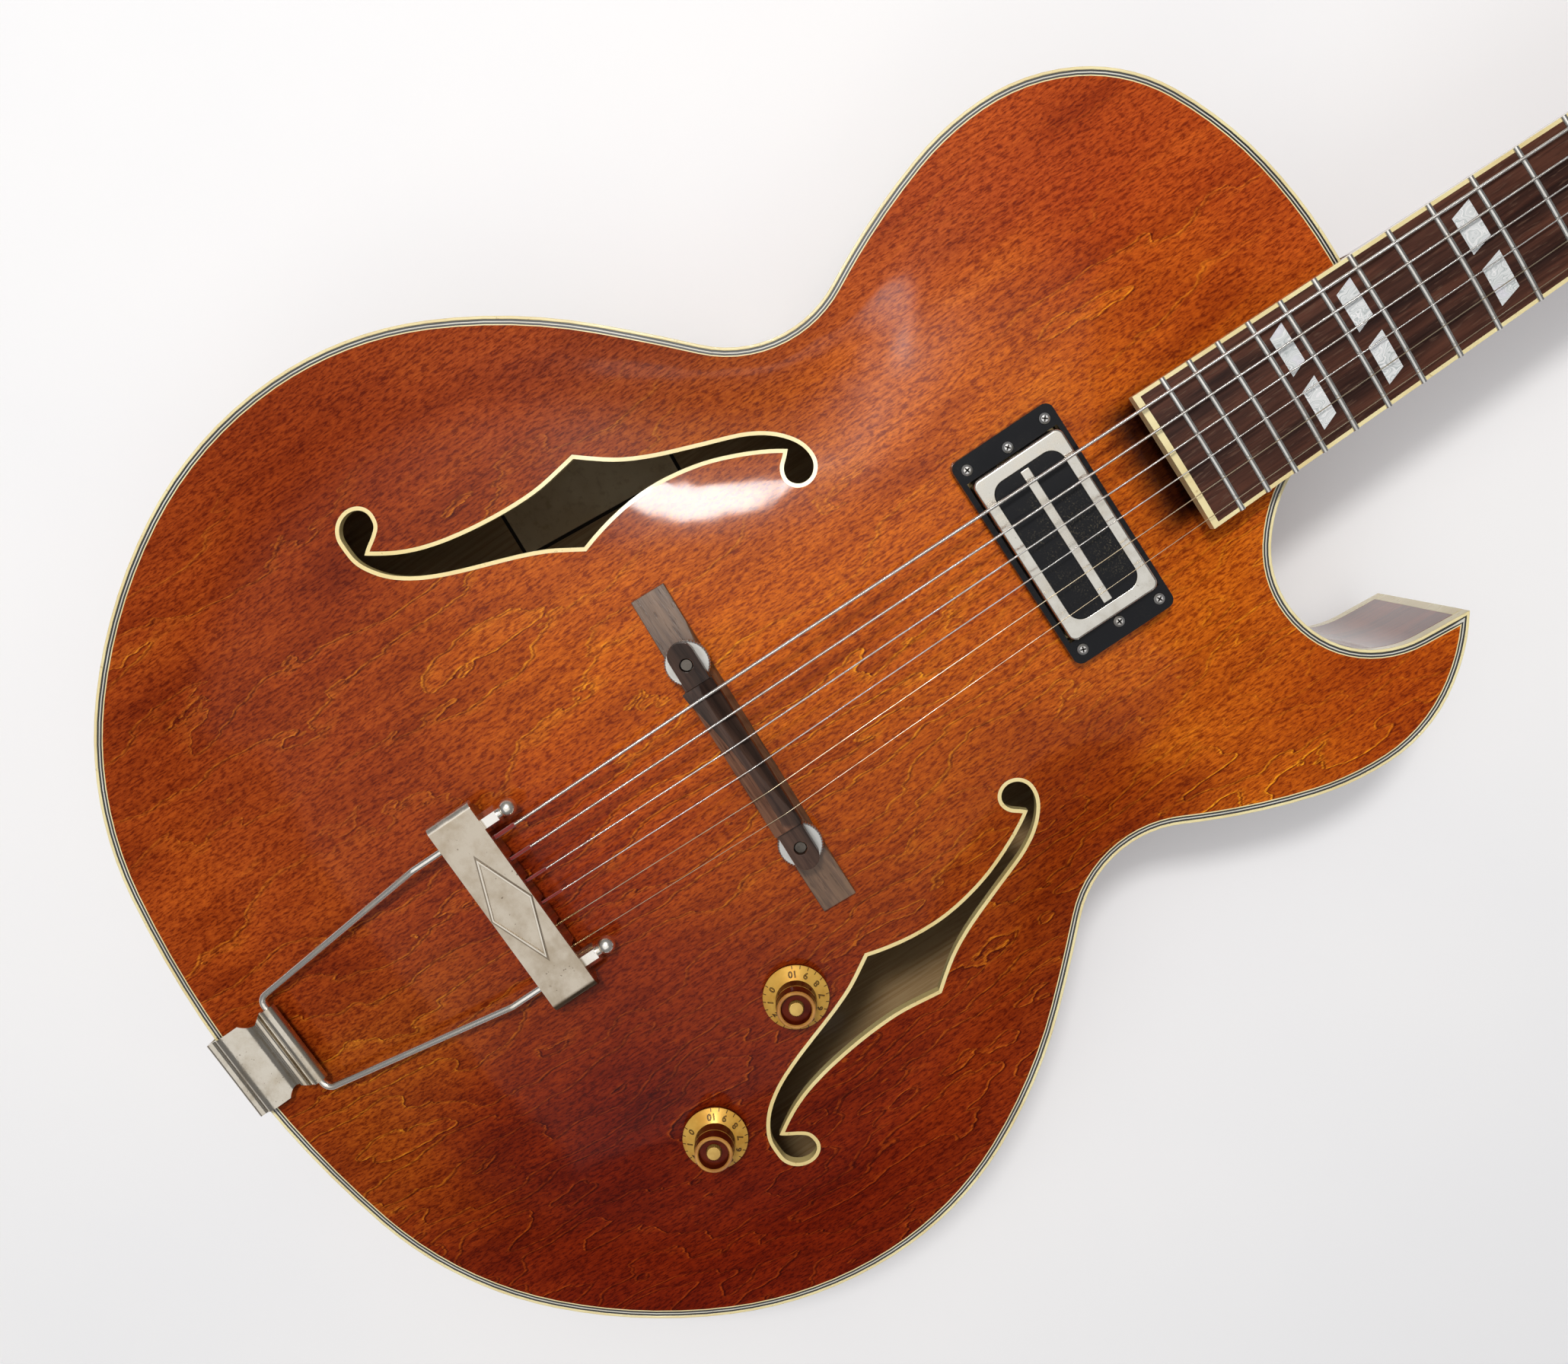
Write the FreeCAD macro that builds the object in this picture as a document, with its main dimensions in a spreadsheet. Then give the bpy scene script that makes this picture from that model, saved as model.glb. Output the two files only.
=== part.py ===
import FreeCAD, Part
import math
import os
import Sketcher

# An archtop guitar with a sharp cutaway, lying on its back.
# Datum of the model: x to the treble side, y from tail to head with zero at the neck joint,
# z out of the top with zero at the flat edge of the top. Placements move every piece from
# that datum to the part's own origin, below the middle of the whole guitar.

V = FreeCAD.Vector
doc = FreeCAD.newDocument("archtop_guitar")
sheet = doc.addObject("Spreadsheet::Sheet", "Sizes")

# Name, value in millimetres (degrees for names that end in angle), and what it measures.
MEASURES = [
    ("body_length", 528.5, "tail edge to the neck joint"),
    ("bout_half_width", 210.8, "centre line to the widest point of the lower bout"),
    ("rim_depth", 85.0, "flat edge of the top to flat edge of the back"),
    ("rim_wall", 2.6, "thickness of the bent sides"),
    ("top_arch", 17.0, "rise of the top above its edge"),
    ("back_arch", 16.0, "rise of the back beyond its edge"),
    ("plate_thickness", 4.6, "thickness of the top and the back"),
    ("edge_flat", 4.4, "flat margin between the outline and the arch"),
    ("origin_from_joint", 10.2, "part origin behind the neck joint"),
    ("binding_width", 1.25, "outer binding seen from above"),
    ("binding_height", 6.2, "outer binding seen from the side"),
    ("black_line_width", 0.45, "each dark purfling line"),
    ("white_line_width", 0.9, "pale purfling line between the dark ones"),
    ("inner_line_width", 0.4, "thin pale line beside the wood"),
    ("purfling_depth", 1.2, "depth of the purfling channel"),
    ("horn_strip_reach", 4.6, "upright binding strip on the point of the horn"),
    ("lining_width", 6.0, "kerfed lining across"),
    ("lining_height", 14.0, "kerfed lining up the rim"),
    ("neck_block_half_width", 40.0, "half of the neck block across"),
    ("neck_block_length", 62.0, "neck block along the body"),
    ("tail_block_half_width", 34.0, "half of the tail block across"),
    ("tail_block_length", 26.0, "tail block along the body"),
    ("tone_bar_width", 7.0, "brace under the top, across"),
    ("tone_bar_height", 12.0, "brace under the top, downwards"),
    ("tone_bar_length", 300.0, "brace under the top, along"),
    ("tone_bar_spread", 47.0, "brace middle from the centre line"),
    ("tone_bar_from_joint", 262.0, "brace middle behind the neck joint"),
    ("f_hole_length", 160.0, "f-hole from end to end, the size its outline is drawn to"),
    ("f_hole_out", 111.7, "f-hole middle from the centre line"),
    ("f_hole_from_joint", 286.65, "f-hole middle behind the neck joint"),
    ("f_hole_binding", 1.5, "pale binding around each f-hole"),
    ("scale_length", 628.65, "nut to the ideal saddle line"),
    ("joint_past_fret", 3.0, "neck joint beyond the fret at the body"),
    ("board_rise", 16.2, "fingerboard surface above the top's edge at the joint"),
    ("board_length", 443.25, "fingerboard from nut to its end over the body"),
    ("board_thickness", 6.0, "fingerboard at the centre line"),
    ("board_radius", 305.0, "cross curve of the fingerboard"),
    ("board_nut_width", 43.0, "fingerboard across at the nut"),
    ("board_end_width", 57.6, "fingerboard across at its end over the body"),
    ("board_binding", 1.5, "binding along the fingerboard"),
    ("board_end_binding", 2.6, "binding across the fingerboard's end"),
    ("fret_width", 2.5, "fret crown along the neck"),
    ("fret_height", 1.15, "fret crown above the board"),
    ("tang_width", 0.6, "fret tang along the neck"),
    ("tang_depth", 1.9, "fret tang into the board"),
    ("inlay_depth", 1.4, "pearl inlays into the board"),
    ("nut_thickness", 5.0, "string nut along the neck"),
    ("nut_rise", 2.0, "string nut above the board"),
    ("slot_clearance", 0.08, "string slot in the nut around its string"),
    ("neck_depth_nut", 14.6, "neck below the fingerboard at the nut"),
    ("neck_depth_middle", 16.4, "neck below the fingerboard half way"),
    ("neck_depth_heel", 18.4, "neck below the fingerboard before the heel"),
    ("heel_depth", 100.0, "depth the heel curve is drawn to"),
    ("heel_run", 44.0, "length in which the neck turns into the heel"),
    ("heel_lift", 1.6, "heel end above the edge of the back"),
    ("extension_inset", 4.0, "neck tongue inside the edge of the fingerboard"),
    ("extension_overhang", 36.0, "end of the fingerboard beyond the end of the neck tongue"),
    ("tenon_half_width", 16.0, "half of the neck tenon across"),
    ("tenon_length", 38.0, "neck tenon into the body"),
    ("tenon_depth", 60.0, "neck tenon below the top's edge"),
    ("rod_width", 6.0, "truss rod channel across"),
    ("rod_depth", 9.0, "truss rod channel below the fingerboard"),
    ("head_length", 182.0, "nut line to the tip of the headstock"),
    ("head_half_width", 39.0, "centre line to the widest edge of the headstock"),
    ("head_thickness", 14.0, "headstock without its veneer"),
    ("veneer_thickness", 1.6, "dark veneer on the headstock"),
    ("cover_length", 44.0, "truss rod cover along the headstock"),
    ("cover_half_width", 13.0, "half of the truss rod cover across"),
    ("cover_thickness", 1.8, "truss rod cover"),
    ("tuner_first", 40.0, "first tuner post from the nut line"),
    ("tuner_pitch", 45.0, "tuner post to tuner post"),
    ("tuner_out", 25.0, "tuner post from the centre line at the first pair"),
    ("tuner_fan", 1.2, "outward step from one tuner pair to the next"),
    ("post_radius", 3.0, "tuner post"),
    ("post_rise", 17.0, "tuner post above the headstock"),
    ("post_clearance", 0.06, "running gap around each tuner post and key shaft"),
    ("bushing_radius", 5.0, "bushing in the headstock"),
    ("bushing_flange_radius", 6.6, "bushing flange"),
    ("bushing_flange_height", 1.6, "bushing flange above the headstock"),
    ("housing_width", 15.0, "tuner housing across the headstock"),
    ("housing_length", 25.0, "tuner housing along the headstock"),
    ("housing_height", 10.5, "tuner housing behind the headstock"),
    ("housing_wall", 1.5, "tuner housing wall"),
    ("gear_radius", 5.2, "worm wheel on the post"),
    ("gear_height", 4.2, "worm wheel thickness"),
    ("worm_radius", 2.2, "worm on the key shaft"),
    ("worm_offset", 7.9, "key shaft axis from the post axis"),
    ("key_shaft_radius", 1.7, "key shaft"),
    ("key_reach", 24.0, "post axis to the inner end of the button"),
    ("button_length", 12.0, "tuner button along its shaft"),
    ("button_width", 18.0, "tuner button across"),
    ("button_thickness", 7.5, "tuner button through"),
    ("string_action", 3.6, "string above the fret plane at the saddle"),
    ("nut_action", 0.6, "string above the fret plane at the nut"),
    ("saddle_span", 52.0, "outer string to outer string at the saddle"),
    ("nut_span", 35.4, "outer string to outer string at the nut"),
    ("tail_span", 50.0, "outer string to outer string at the tailpiece"),
    ("string_thinnest", 0.3, "diameter of the first string"),
    ("string_thickest", 1.3, "diameter of the sixth string"),
    ("string_gap", 0.3, "string clear of moving pieces"),
    ("ball_radius", 1.9, "ball end of a string"),
    ("bridge_shift", 0.8, "bridge middle to the treble side"),
    ("bridge_behind", 4.8, "bridge middle behind the ideal saddle line"),
    ("bridge_skew_angle", -2.6, "turn of the bridge seen from above"),
    ("base_length", 138.0, "bridge base across the body"),
    ("base_width", 14.0, "bridge base along the body"),
    ("base_top", 21.5, "bridge base upper face above the top's edge"),
    ("base_end_drop", 3.6, "fall of the bridge base towards its ends"),
    ("base_hollow", 3.4, "hollow of the base's front, at the top of its middle"),
    ("base_hollow_fall", 4.5, "depth below the base's top at which the hollow ends"),
    ("post_spacing", 79.4, "bridge post to bridge post"),
    ("bridge_post_radius", 2.0, "threaded bridge post"),
    ("bridge_post_sink", 4.6, "bridge post below the middle of the base"),
    ("bridge_post_top", 31.2, "bridge post end above the top's edge"),
    ("wheel_radius", 8.6, "bridge thumbwheel"),
    ("wheel_thickness", 4.0, "bridge thumbwheel"),
    ("wheel_gap", 2.0, "thumbwheel above the bridge base"),
    ("wheel_clearance", 0.08, "running gap between thumbwheel and post"),
    ("saddle_length", 97.0, "saddle across the body"),
    ("saddle_width", 11.4, "saddle along the body"),
    ("saddle_tab_height", 5.0, "thickness of the saddle over the posts"),
    ("saddle_tab_width", 10.0, "saddle over the posts along the body"),
    ("saddle_ridge_length", 63.0, "raised part of the saddle that carries the strings"),
    ("saddle_hole_radius", 2.5, "hole in the saddle around each post"),
    ("bar_length", 84.0, "tailpiece crossbar across the body"),
    ("bar_width", 18.6, "tailpiece crossbar along the body"),
    ("bar_height", 9.6, "tailpiece crossbar through"),
    ("bar_wall", 1.4, "sheet of the tailpiece crossbar"),
    ("bar_top", 31.0, "crossbar upper face above the top's edge"),
    ("bar_front_behind", 98.2, "crossbar front edge behind the ideal saddle line"),
    ("bar_corner", 3.0, "rounding of the crossbar's ends"),
    ("diamond_length", 45.0, "raised diamond along the crossbar"),
    ("diamond_height", 0.45, "raised diamond above the crossbar"),
    ("diamond_line", 0.9, "width of the diamond's raised border"),
    ("bar_lip", 4.6, "folded end of the crossbar, downwards"),
    ("plate_corner", 6.5, "rounding of the string plate's lower corners"),
    ("plate_slot", 2.0, "string slot in the string plate"),
    ("wire_radius", 1.4, "trapeze wire"),
    ("wire_half_span", 31.7, "trapeze wire from the centre line at the crossbar"),
    ("wire_straight", 14.0, "straight trapeze wire behind the crossbar"),
    ("wire_tail_half_span", 22.0, "trapeze wire from the centre line at the bracket"),
    ("wire_bend", 4.0, "bend radius of the trapeze wire"),
    ("wire_clearance", 0.1, "running gap around the wire in the bracket"),
    ("cap_hex", 6.6, "tailpiece nut across its flats"),
    ("cap_hex_length", 6.0, "tailpiece nut, hexagonal part"),
    ("cap_ball_radius", 3.4, "ball on the tailpiece nut"),
    ("cap_neck_length", 2.0, "neck between hexagon and ball"),
    ("bracket_width", 35.0, "tailpiece bracket across the body"),
    ("bracket_sheet", 1.5, "tailpiece bracket sheet"),
    ("bracket_barrel_from_tail", 30.0, "barrel axis in front of the tail edge"),
    ("bracket_barrel_height", 9.6, "barrel axis above the top's edge"),
    ("bracket_drop", 58.0, "bracket down the tail end"),
    ("bracket_notch_radius", 7.0, "concave notch in each side of the bracket"),
    ("bracket_notch_depth", 3.2, "depth of the notch in each side of the bracket"),
    ("bracket_clearance", 0.5, "bracket sheet above the top"),
    ("pin_height", 40.0, "end pin below the top's edge"),
    ("pin_radius", 7.0, "end pin head"),
    ("pin_length", 38.0, "end pin over all"),
    ("pin_hidden", 22.0, "end pin inside the body"),
    ("pickup_from_joint", 144.8, "pickup middle behind the neck joint"),
    ("ring_length", 89.6, "pickup ring across the body"),
    ("ring_width", 43.8, "pickup ring along the body"),
    ("ring_top", 16.6, "pickup ring upper face above the top's edge"),
    ("ring_foot", 12.0, "pickup ring height before it is fitted to the arch"),
    ("ring_corner", 3.4, "corner radius of the pickup ring"),
    ("cover_plan_length", 70.0, "pickup cover across the body"),
    ("cover_plan_width", 38.4, "pickup cover along the body"),
    ("cover_gap", 0.5, "pickup cover inside its ring"),
    ("cover_rise", 5.2, "pickup cover above the ring"),
    ("cover_skirt", 14.0, "pickup cover over all height"),
    ("cover_sheet", 0.9, "pickup cover sheet"),
    ("cover_corner", 3.0, "pickup cover corner radius"),
    ("window_length", 59.6, "window in the pickup cover across the body"),
    ("window_width", 29.2, "window in the pickup cover along the body"),
    ("window_corner", 5.6, "window corner radius"),
    ("window_gap", 0.1, "insert inside the window"),
    ("insert_sink", 0.3, "insert below the face of the cover"),
    ("blade_length", 57.8, "steel blade across the body"),
    ("blade_width", 3.8, "steel blade along the body"),
    ("blade_rise", 0.8, "steel blade above the insert"),
    ("blade_depth", 12.0, "steel blade over all height"),
    ("base_plate_thickness", 1.2, "pickup base plate"),
    ("lug_reach", 7.4, "base plate lug beyond the cover"),
    ("lug_half_width", 6.0, "half of a base plate lug across"),
    ("screw_head_radius", 2.3, "pickup screw head"),
    ("screw_head_height", 1.3, "pickup screw head"),
    ("screw_radius", 1.2, "pickup screw shank"),
    ("screw_clearance", 0.08, "running gap around a height screw"),
    ("screw_length", 26.0, "pickup height screw"),
    ("ring_screw_length", 9.0, "pickup ring screw"),
    ("screw_inset", 4.9, "pickup ring screw from the ring's edge"),
    ("height_screw_inset", 6.2, "pickup height screw from the ring's end"),
    ("spring_radius", 2.5, "pickup spring"),
    ("spring_wire", 0.3, "pickup spring wire radius"),
    ("pickup_opening_gap", 1.6, "opening in the top around the pickup cover"),
    ("volume_out", 91.2, "volume knob from the centre line"),
    ("volume_behind", 42.6, "volume knob behind the ideal saddle line"),
    ("tone_out", 122.4, "tone knob from the centre line"),
    ("tone_behind", 101.5, "tone knob behind the ideal saddle line"),
    ("knob_diameter", 25.6, "knob skirt"),
    ("knob_height", 15.0, "knob over all"),
    ("knob_gap", 2.6, "knob skirt above the top"),
    ("shaft_radius", 2.9, "potentiometer shaft"),
    ("shaft_sink", 0.8, "shaft end below the knob's rim"),
    ("shaft_clearance", 0.08, "running gap around the potentiometer shaft"),
    ("pot_radius", 11.5, "potentiometer can"),
    ("pot_height", 9.0, "potentiometer can"),
    ("pot_sleeve_radius", 4.6, "threaded potentiometer sleeve"),
    ("pot_sleeve_rise", 3.6, "threaded sleeve above the top"),
    ("jack_height", 42.0, "output jack below the top's edge"),
    ("jack_bore_radius", 3.25, "output jack socket"),
    ("jack_sleeve_radius", 4.75, "output jack sleeve"),
    ("jack_inside", 22.0, "output jack inside the rim"),
    ("jack_outside", 3.6, "output jack outside the rim"),
    ("jack_nut_radius", 8.0, "output jack nut"),
    ("jack_nut_height", 2.2, "output jack nut"),
]

for row, (name, value, meaning) in enumerate(MEASURES, start=1):
    sheet.set("A%d" % row, name)
    sheet.set("B%d" % row, str(value))
    sheet.set("C%d" % row, meaning)
    sheet.setAlias("B%d" % row, name)
doc.recompute()


class Dim:
    """A length that knows its number and the sheet expression it comes from."""

    def __init__(self, value, text):
        self.value = value
        self.text = text

    def join(self, other, sign, value):
        text = other.text if isinstance(other, Dim) else repr(other)
        return Dim(value, "(%s %s %s)" % (self.text, sign, text))

    def __add__(self, other):
        return self.join(other, "+", self.value + number(other))

    def __sub__(self, other):
        return self.join(other, "-", self.value - number(other))

    def __mul__(self, share):
        return self.join(share, "*", self.value * number(share))

    def __truediv__(self, share):
        return self.join(share, "/", self.value / number(share))

    def __neg__(self):
        return Dim(-self.value, "(-1 * %s)" % self.text)


def number(thing):
    return thing.value if isinstance(thing, Dim) else thing


class Lengths:
    """Plain numbers of the sheet, for shapes that are computed."""


class Bound:
    """The same numbers as Dim values, for properties that are bound to the sheet."""


mm = Lengths()
size = Bound()
for name, value, meaning in MEASURES:
    setattr(mm, name, float(sheet.get(name)))
    setattr(size, name, Dim(float(sheet.get(name)), "Sizes.%s" % name))
ZERO = Dim(0.0, "0")

frame = FreeCAD.Placement(V(0, mm.origin_from_joint, mm.back_arch + mm.rim_depth), FreeCAD.Rotation())
pieces = []


def keep(obj, label):
    obj.Label = label
    pieces.append(obj)
    return obj


def add(label, shape, place=frame):
    """A computed sub-part: its shape first, then its placement."""
    obj = doc.addObject("Part::Feature", label)
    obj.Shape = shape
    obj.Placement = place
    return keep(obj, label)


def bind(obj, prop, dim):
    obj.setExpression(prop, dim.text)


def stand(obj, x, y, z):
    """Bind a sub-part's placement, given in the model's datum."""
    bind(obj, "Placement.Base.x", x)
    bind(obj, "Placement.Base.y", y + size.origin_from_joint)
    bind(obj, "Placement.Base.z", z + size.back_arch + size.rim_depth)


# Plane curves made of tangent arcs. A segment is [start, end, centre or None, turn].


def gap_of(p, q):
    return math.hypot(q[0] - p[0], q[1] - p[1])


def arc_from(p, heading, q):
    tangent = (math.cos(heading), math.sin(heading))
    chord = (q[0] - p[0], q[1] - p[1])
    across = tangent[0] * chord[1] - tangent[1] * chord[0]
    if abs(across) < 1e-9 * gap_of(p, q) ** 2:
        return [p, q, None, 0]
    radius = gap_of(p, q) ** 2 / (2 * across)
    centre = (p[0] - tangent[1] * radius, p[1] + tangent[0] * radius)
    return [p, q, centre, 1 if radius > 0 else -1]


def biarc(p, heading_p, q, heading_q):
    """Two tangent arcs from p to q with the given headings."""
    tp = (math.cos(heading_p), math.sin(heading_p))
    tq = (math.cos(heading_q), math.sin(heading_q))
    chord = (q[0] - p[0], q[1] - p[1])
    spread = 2 * (1 - tp[0] * tq[0] - tp[1] * tq[1])
    along = chord[0] * (tp[0] + tq[0]) + chord[1] * (tp[1] + tq[1])
    square = chord[0] ** 2 + chord[1] ** 2
    if spread < 1e-9:
        reach = square / (2 * along)
    else:
        reach = (-along + math.sqrt(along ** 2 + spread * square)) / spread
    middle = tuple((p[i] + q[i] + reach * (tp[i] - tq[i])) / 2 for i in (0, 1))
    first = arc_from(p, heading_p, middle)
    back = arc_from(q, heading_q + math.pi, middle)
    return [first, [middle, q, back[2], -back[3]]]


def run_of(nodes):
    """Arcs through nodes of (x, y, heading in degrees)."""
    chain = []
    for (x, y, a), (u, v, b) in zip(nodes[:-1], nodes[1:]):
        chain += biarc((x, y), math.radians(a), (u, v), math.radians(b))
    return chain


def carrier_meetings(a, b):
    """Points where the circles or lines that carry two segments meet."""
    if a[2] is None and b[2] is None:
        d = (a[1][0] - a[0][0], a[1][1] - a[0][1])
        e = (b[1][0] - b[0][0], b[1][1] - b[0][1])
        cross = d[0] * e[1] - d[1] * e[0]
        part = ((b[0][0] - a[0][0]) * e[1] - (b[0][1] - a[0][1]) * e[0]) / cross
        return [(a[0][0] + part * d[0], a[0][1] + part * d[1])]
    if a[2] is None:
        return carrier_meetings(b, a)
    centre, radius = a[2], gap_of(a[0], a[2])
    if b[2] is None:
        length = gap_of(b[0], b[1])
        d = ((b[1][0] - b[0][0]) / length, (b[1][1] - b[0][1]) / length)
        foot = (centre[0] - b[0][0]) * d[0] + (centre[1] - b[0][1]) * d[1]
        base = (b[0][0] + foot * d[0], b[0][1] + foot * d[1])
        half = math.sqrt(max(radius ** 2 - gap_of(base, centre) ** 2, 0.0))
    else:
        other, wide = b[2], gap_of(b[0], b[2])
        length = gap_of(centre, other)
        along = (length ** 2 + radius ** 2 - wide ** 2) / (2 * length)
        u = ((other[0] - centre[0]) / length, (other[1] - centre[1]) / length)
        base = (centre[0] + along * u[0], centre[1] + along * u[1])
        half = math.sqrt(max(radius ** 2 - along ** 2, 0.0))
        d = (-u[1], u[0])
    return [(base[0] + s * half * d[0], base[1] + s * half * d[1]) for s in (1, -1)]


def shifted(chain, left):
    """The closed chain moved to its left side, with its corners met again."""
    moved = []
    for p, q, centre, turn in chain:
        if centre is None:
            length = gap_of(p, q)
            n = (-(q[1] - p[1]) / length * left, (q[0] - p[0]) / length * left)
            moved.append([(p[0] + n[0], p[1] + n[1]), (q[0] + n[0], q[1] + n[1]), None, 0])
        else:
            radius = gap_of(p, centre)
            grow = (radius - turn * left) / radius
            ends = [tuple(centre[i] + (e[i] - centre[i]) * grow for i in (0, 1)) for e in (p, q)]
            moved.append([ends[0], ends[1], centre, turn])
    for index, a in enumerate(moved):
        b = moved[(index + 1) % len(moved)]
        if gap_of(a[1], b[0]) > 1e-6 * gap_of(a[0], a[1]):
            corner = chain[index][1]
            meet = min(carrier_meetings(a, b), key=lambda m: gap_of(m, corner))
            a[1] = meet
            b[0] = meet
        else:
            b[0] = a[1]
    return moved


def sweep_of(segment):
    p, q, centre, turn = segment
    start = math.atan2(p[1] - centre[1], p[0] - centre[0])
    end = math.atan2(q[1] - centre[1], q[0] - centre[0])
    full = 2 * math.pi
    return start, ((end - start) % full) if turn > 0 else -((start - end) % full)


def point_on(segment, share):
    p, q, centre, turn = segment
    if centre is None:
        return (p[0] + share * (q[0] - p[0]), p[1] + share * (q[1] - p[1]))
    start, sweep = sweep_of(segment)
    radius = gap_of(p, centre)
    angle = start + share * sweep
    return (centre[0] + radius * math.cos(angle), centre[1] + radius * math.sin(angle))


def face_of(chain, height):
    edges = []
    for segment in chain:
        p, q = V(*segment[0], height), V(*segment[1], height)
        if segment[2] is None:
            edges.append(Part.LineSegment(p, q).toShape())
        else:
            edges.append(Part.Arc(p, V(*point_on(segment, 0.5), height), q).toShape())
    return Part.Face(Part.Wire(edges))


def prism(chain, low, high):
    return face_of(chain, low).extrude(V(0, 0, high - low))


def mirrored(nodes):
    """Nodes of the treble side as they are met going back along the bass side."""
    return [(-x, y, -a) for x, y, a in reversed(nodes)]


# Body outline, as shares of the bout's half width and of the body length, with headings.
SIDE_SHARES = [(0.0, -1.0, 0.0), (0.718, -0.915, 43.2), (1.0, -0.6766, 90.0), (0.7623, -0.4641, 133.3),
               (0.5664, -0.3497, 90.0), (0.6345, -0.2736, 66.7), (0.7078, -0.1572, 90.0)]
SHOULDER_SHARES = [(0.5356, -0.0371, 151.3), (0.1423, 0.0, 180.0)]
HORN_SHARES = [(0.5474, -0.0492, 148.0)]
CUTAWAY_SHARES = [(0.5474, -0.0492, 266.0), (0.5076, -0.1255, 236.0), (0.3416, -0.1593, 180.0),
                  (0.1599, -0.1147, 122.0), (0.121, -0.0473, 93.0), (0.1186, 0.0, 90.0)]


def body_nodes(shares):
    return [(x * mm.bout_half_width, y * mm.body_length, a) for x, y, a in shares]


cutaway_end = body_nodes(CUTAWAY_SHARES)[-1]
shoulder_end = body_nodes(SHOULDER_SHARES)[-1]
outline = run_of(body_nodes(SIDE_SHARES + HORN_SHARES)) + run_of(body_nodes(CUTAWAY_SHARES))
outline += [[cutaway_end[:2], (-shoulder_end[0], shoulder_end[1]), None, 0]]
outline += run_of(mirrored(body_nodes(SIDE_SHARES + SHOULDER_SHARES)))
horn_tip = body_nodes(HORN_SHARES)[0]

# The arch: a membrane held at the outline and raised, then eased into a recurve at its edge.
COLUMNS = 41
ROWS = 51
SWEEPS = 260
RELAXATION = 1.8
POINTS_PER_ARC = 12
border = [point_on(segment, k / POINTS_PER_ARC) for segment in shifted(outline, mm.edge_flat)
          for k in range(POINTS_PER_ARC)]
margin = mm.bout_half_width * 2 / (COLUMNS - 1)
grid_x = [-mm.bout_half_width - margin + i * (2 * mm.bout_half_width + 2 * margin) / (COLUMNS - 1)
          for i in range(COLUMNS)]
grid_y = [-mm.body_length - margin + j * (mm.body_length + 2 * margin) / (ROWS - 1) for j in range(ROWS)]


def border_distance(x, y):
    """Distance to the arch's border, positive inside it."""
    best = None
    inside = False
    last = border[-1]
    for here in border:
        if (here[1] > y) != (last[1] > y):
            if x < (last[0] - here[0]) * (y - here[1]) / (last[1] - here[1]) + here[0]:
                inside = not inside
        dx, dy = here[0] - last[0], here[1] - last[1]
        along = ((x - last[0]) * dx + (y - last[1]) * dy) / (dx * dx + dy * dy)
        along = min(1.0, max(0.0, along))
        far = math.hypot(x - last[0] - along * dx, y - last[1] - along * dy)
        best = far if best is None or far < best else best
        last = here
    return best if inside else -best


depth = [[border_distance(x, y) for y in grid_y] for x in grid_x]
sheet_height = [[0.0] * ROWS for i in range(COLUMNS)]
step_x = grid_x[1] - grid_x[0]
step_y = grid_y[1] - grid_y[0]
inner_nodes = [(i, j) for i in range(1, COLUMNS - 1) for j in range(1, ROWS - 1) if depth[i][j] > 0]
LEAST_REACH_SHARE = 0.1
links = []
for i, j in inner_nodes:
    pulls = []
    for pair, step in (([(i - 1, j), (i + 1, j)], step_x), ([(i, j - 1), (i, j + 1)], step_y)):
        reaches = []
        for a, b in pair:
            reach = 1.0 if depth[a][b] > 0 else depth[i][j] / (depth[i][j] - depth[a][b])
            reaches.append(max(reach, LEAST_REACH_SHARE))
        for (a, b), reach in zip(pair, reaches):
            pulls.append((a, b, 2 / (sum(reaches) * reach * step * step)))
    links.append((i, j, pulls, sum(pull for a, b, pull in pulls)))
for sweep in range(SWEEPS):
    for i, j, pulls, total in links:
        target = (1.0 + sum(sheet_height[a][b] * pull for a, b, pull in pulls)) / total
        sheet_height[i][j] += RELAXATION * (target - sheet_height[i][j])
crown = max(max(column) for column in sheet_height)
arch_share = [[0.0] * ROWS for i in range(COLUMNS)]
for i, j in inner_nodes:
    rise = max(sheet_height[i][j], 0.0) / crown
    arch_share[i][j] = rise * rise * (3 - 2 * rise)


def arch_at(x, y):
    """Share of the arch's full rise at a place on the body."""
    u = (x - grid_x[0]) / step_x
    v = (y - grid_y[0]) / step_y
    i, j = int(u), int(v)
    a, b = u - i, v - j
    low = arch_share[i][j] * (1 - a) + arch_share[i + 1][j] * a
    high = arch_share[i][j + 1] * (1 - a) + arch_share[i + 1][j + 1] * a
    return low * (1 - b) + high * b


def arched_face(level, rise):
    points = [[V(x, y, level + rise * arch_share[i][j]) for j, y in enumerate(grid_y)]
              for i, x in enumerate(grid_x)]
    surface = Part.BSplineSurface()
    surface.interpolate(points)
    return surface.toShape()


def moved(shape, x, y, z):
    copy = shape.copy()
    copy.translate(V(x, y, z))
    return copy


top_skin = arched_face(0.0, mm.top_arch)
back_skin = arched_face(-mm.rim_depth, -mm.back_arch)
below_top = top_skin.extrude(V(0, 0, -mm.rim_depth))
below_plate = moved(below_top, 0, 0, -mm.plate_thickness)
above_back = moved(back_skin, 0, 0, mm.plate_thickness).extrude(V(0, 0, mm.rim_depth + mm.back_arch))

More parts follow.
